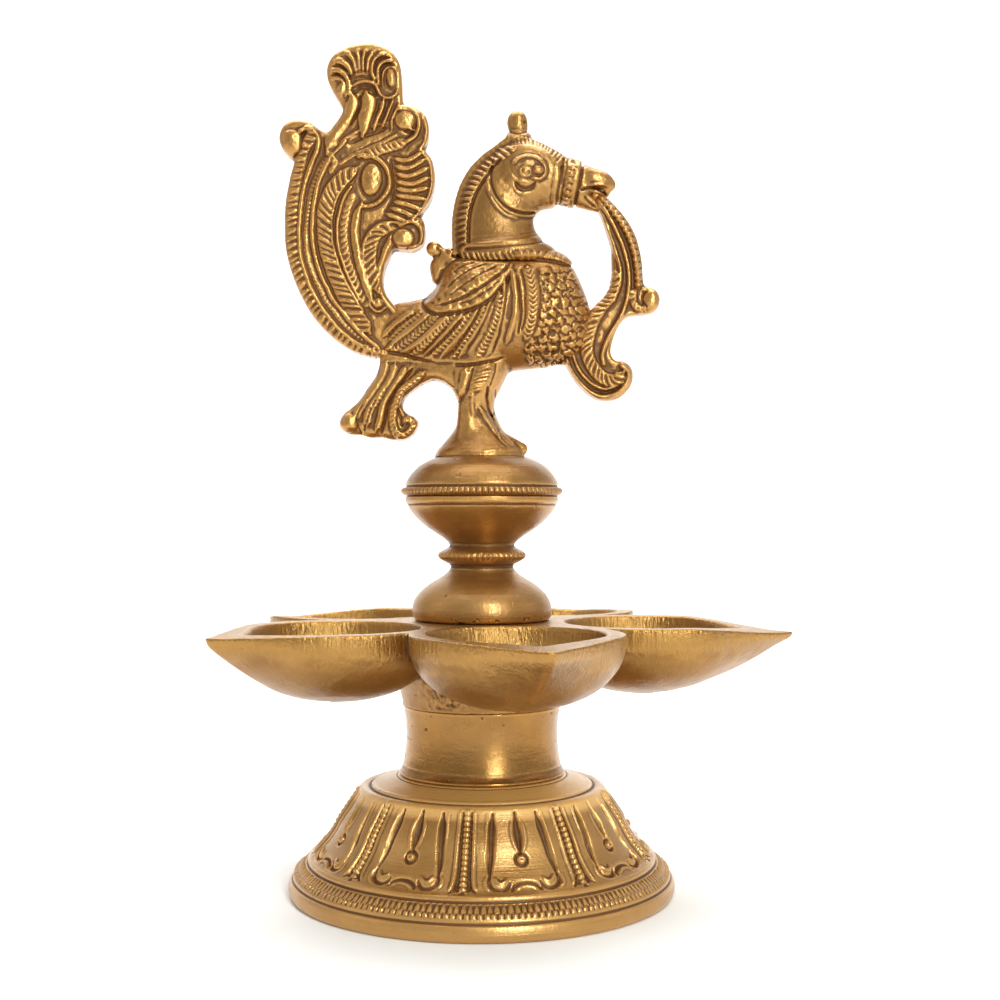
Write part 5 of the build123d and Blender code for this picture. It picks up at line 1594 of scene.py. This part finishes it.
    # surface: casting skin, or the lathe's and the file's marks
    height = math_("ADD", math_("MULTIPLY", noise(520, 4.0, 0.6, seed=2.2), 0.6), math_("MULTIPLY", fine, 0.35))
    height = math_("ADD", height, math_("MULTIPLY", noise(1500, 2.0, 0.6, seed=6.1), skin))
    if grain == "turned":
        sep = node("ShaderNodeSeparateXYZ")
        L.new(pos, sep.inputs[0])
        comb = node("ShaderNodeCombineXYZ")
        rr = math_("SQRT", math_("ADD", math_("MULTIPLY", sep.outputs["X"], sep.outputs["X"]), math_("MULTIPLY", sep.outputs["Y"], sep.outputs["Y"])))
        L.new(rr, comb.inputs["X"])
        L.new(sep.outputs["Z"], comb.inputs["Z"])
        n = node("ShaderNodeTexNoise")
        L.new(comb.outputs[0], n.inputs["Vector"])
        n.inputs["Scale"].default_value = 2600
        n.inputs["Detail"].default_value = 3.0
        wob = node("ShaderNodeTexNoise")
        L.new(comb.outputs[0], wob.inputs["Vector"])
        wob.inputs["Scale"].default_value = 420
        wob.inputs["Detail"].default_value = 2.0
        height = math_("ADD", height, math_("ADD", math_("MULTIPLY", n.outputs["Fac"], 0.55), math_("MULTIPLY", wob.outputs["Fac"], 0.9)))
    if grain == "filed":
        scr = noise(420, 4.0, 0.65, stretch=(1.0, 1.0, 0.18), seed=4.4)
        height = math_("ADD", height, math_("MULTIPLY", scr, 0.7))
        cuts = noise(1500, 3.0, 0.6, stretch=(1.0, 1.0, 0.10), seed=8.8)
        height = math_("ADD", height, math_("MULTIPLY", math_("MULTIPLY", cuts, near_rim), 3.2))
    bp = node("ShaderNodeBump")
    bp.inputs["Strength"].default_value = bump
    bp.inputs["Distance"].default_value = 0.00022
    L.new(height, bp.inputs["Height"])
    L.new(bp.outputs["Normal"], bsdf.inputs["Normal"])
    L.new(bp.outputs["Normal"], bsdf.inputs["Coat Normal"])
    put(bsdf.inputs["Coat Weight"], ramp(wax_and_painted_shade, 0.0, 1.0, coat, 0.10, False))
    bsdf.inputs["Coat Roughness"].default_value = 0.17
    return m


def steel(name):
    m = bpy.data.materials.new(name)
    m.use_nodes = True
    nt = m.node_tree
    b = nt.nodes["Principled BSDF"]
    b.inputs["Base Color"].default_value = (0.55, 0.40, 0.17, 1)
    b.inputs["Metallic"].default_value = 1.0
    tc = nt.nodes.new("ShaderNodeTexCoord")
    w = nt.nodes.new("ShaderNodeTexWave")
    w.bands_direction = "Z"
    w.inputs["Scale"].default_value = 250.0
    w.inputs["Distortion"].default_value = 0.3
    nt.links.new(tc.outputs["Object"], w.inputs["Vector"])
    n = nt.nodes.new("ShaderNodeTexNoise")
    n.inputs["Scale"].default_value = 900
    nt.links.new(tc.outputs["Object"], n.inputs["Vector"])
    mr = nt.nodes.new("ShaderNodeMapRange")
    nt.links.new(n.outputs["Fac"], mr.inputs["Value"])
    mr.inputs["To Min"].default_value = 0.25
    mr.inputs["To Max"].default_value = 0.5
    nt.links.new(mr.outputs["Result"], b.inputs["Roughness"])
    bp = nt.nodes.new("ShaderNodeBump")
    bp.inputs["Strength"].default_value = 0.6
    bp.inputs["Distance"].default_value = 0.0004
    nt.links.new(w.outputs["Fac"], bp.inputs["Height"])
    nt.links.new(bp.outputs["Normal"], b.inputs["Normal"])
    return m


# --------------------------------------------------------------------------
# The pieces
# --------------------------------------------------------------------------
BIRD = brass("bird_brass_antique", skin=0.9)
# painted shade: the head uses a darker copy of the bird's brass, so that it reads shaded
HEAD_SHADED = brass("head_brass_painted_shade", bright=(0.375, 0.192, 0.052), mid=(0.275, 0.134, 0.034), skin=0.9)
# painted light: the foot's shoulder above 20.5 mm is painted lighter and made less metallic
FOOT = brass("foot_brass_antique", bright=(0.50, 0.270, 0.080), mid=(0.40, 0.205, 0.056), grain="turned", recess=(0.006, 0.060), hollow=(0.35, 1.4), metal=0.74, painted_light_above=0.0205)
DISH = brass("dish_brass_antique", bright=(0.345, 0.170, 0.041), mid=(0.26, 0.124, 0.028), grain="filed", rough=(0.29, 0.42), dull=(0.32, 0.170, 0.062), dull_amount=0.35, coat=0.18, recess=(0.015, 0.100), skin=1.0)
TURNED = brass("turned_brass_antique", grain="turned", dull_amount=0.2, metal=0.80)
# painted shade: the cap uses the turned brass darkened by about an eighth, so that it reads shaded
CAP_SHADED = brass("cap_brass_painted_shade", bright=(0.40, 0.205, 0.056), mid=(0.29, 0.141, 0.036), grain="turned", dull_amount=0.2, dull=(0.33, 0.185, 0.080), metal=0.84)
COLUMN = brass("column_brass_antique", bright=(0.38, 0.187, 0.043), mid=(0.29, 0.139, 0.031), grain="cast", rough=(0.18, 0.30), dull=(0.32, 0.168, 0.058), dull_amount=0.35, bump=0.35, coat=0.16)
STUD = steel("stud_brass_threaded")

build_foot(FOOT)
build_column(COLUMN)
build_dish(DISH)
build_baluster(TURNED)
build_cap(CAP_SHADED)
build_tail(BIRD)
build_garland(BIRD)
build_head(HEAD_SHADED)
build_body(BIRD)
for n in ("column_stud", "dish_stud", "finial_stud", "bird_spigot"):
    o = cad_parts[n]
    o.data.materials.clear()
    o.data.materials.append(STUD)


# --------------------------------------------------------------------------
# Stage, light and camera
# --------------------------------------------------------------------------
def stage():
    me = bpy.data.meshes.new("floor")
    s, steps = 1.6, 24
    rows = [(-s, 0.0)] + [(0.75, 0.0)]
    for i in range(steps + 1):
        a = math.pi / 2 * i / steps
        rows.append((0.75 + 0.5 * math.sin(a), 0.5 * (1 - math.cos(a))))
    rows.append((1.25, 2.2))
    vs, fs = [], []
    for i, (y, z) in enumerate(rows):
        vs += [(-2.2, y, z), (2.2, y, z)]
        if i:
            k = 2 * i
            fs.append((k - 2, k - 1, k + 1, k))
    me.from_pydata(vs, [], fs)
    me.polygons.foreach_set("use_smooth", [True] * len(me.polygons))
    floor = bpy.data.objects.new("floor", me)
    bpy.context.scene.collection.objects.link(floor)
    m = bpy.data.materials.new("pale_floor")
    m.use_nodes = True
    b = m.node_tree.nodes["Principled BSDF"]
    b.inputs["Base Color"].default_value = (0.93, 0.93, 0.925, 1)
    b.inputs["Roughness"].default_value = 0.85
    b.inputs["Specular IOR Level"].default_value = 0.1
    me.materials.append(m)
    return floor


def area(name, at, to, size, power, colour=(1, 1, 1), size_y=None):
    d = bpy.data.lights.new(name, "AREA")
    d.energy = power
    d.color = colour
    d.size = size
    if size_y:
        d.shape = "RECTANGLE"
        d.size_y = size_y
    o = bpy.data.objects.new(name, d)
    o.location = at
    o.rotation_euler = (Vector(to) - Vector(at)).to_track_quat("-Z", "Y").to_euler()
    bpy.context.scene.collection.objects.link(o)
    return o


stage()
world = bpy.data.worlds.new("studio")
bpy.context.scene.world = world
world.use_nodes = True
bg = world.node_tree.nodes["Background"]
bg.inputs["Color"].default_value = (1.0, 0.96, 0.91, 1)
bg.inputs["Strength"].default_value = 0.56

area("key", (0.285, -0.745, 0.44), (0, 0, 0.10), 0.13, 6.2, (0.90, 1.0, 0.98), 0.80)
area("window_left", (-0.9, -0.20, 0.5), (0, 0, 0.09), 0.5, 0.5, (1.0, 0.96, 0.94))
area("window_right", (0.95, -0.10, 0.45), (0, 0, 0.09), 0.5, 0.5, (1.0, 0.96, 0.94))
area("top", (0.0, 0.20, 1.1), (0, 0.05, 0.0), 1.0, 8.0)
area("backdrop", (0.0, 0.35, 1.0), (0, 1.25, 0.35), 1.0, 9.0)

scene = bpy.context.scene
scene.view_settings.view_transform = "Standard"
cam_data = bpy.data.cameras.new("camera")
cam = bpy.data.objects.new("camera", cam_data)
cam_data.lens = 51.84
cam_data.sensor_width = 36.0
cam_data.clip_start = 0.01
cam.location = (0.0, -0.32493, 0.08462)
cam.rotation_euler = (math.radians(90 + 0.477), 0.0, math.radians(-0.716))
scene.collection.objects.link(cam)
scene.camera = cam
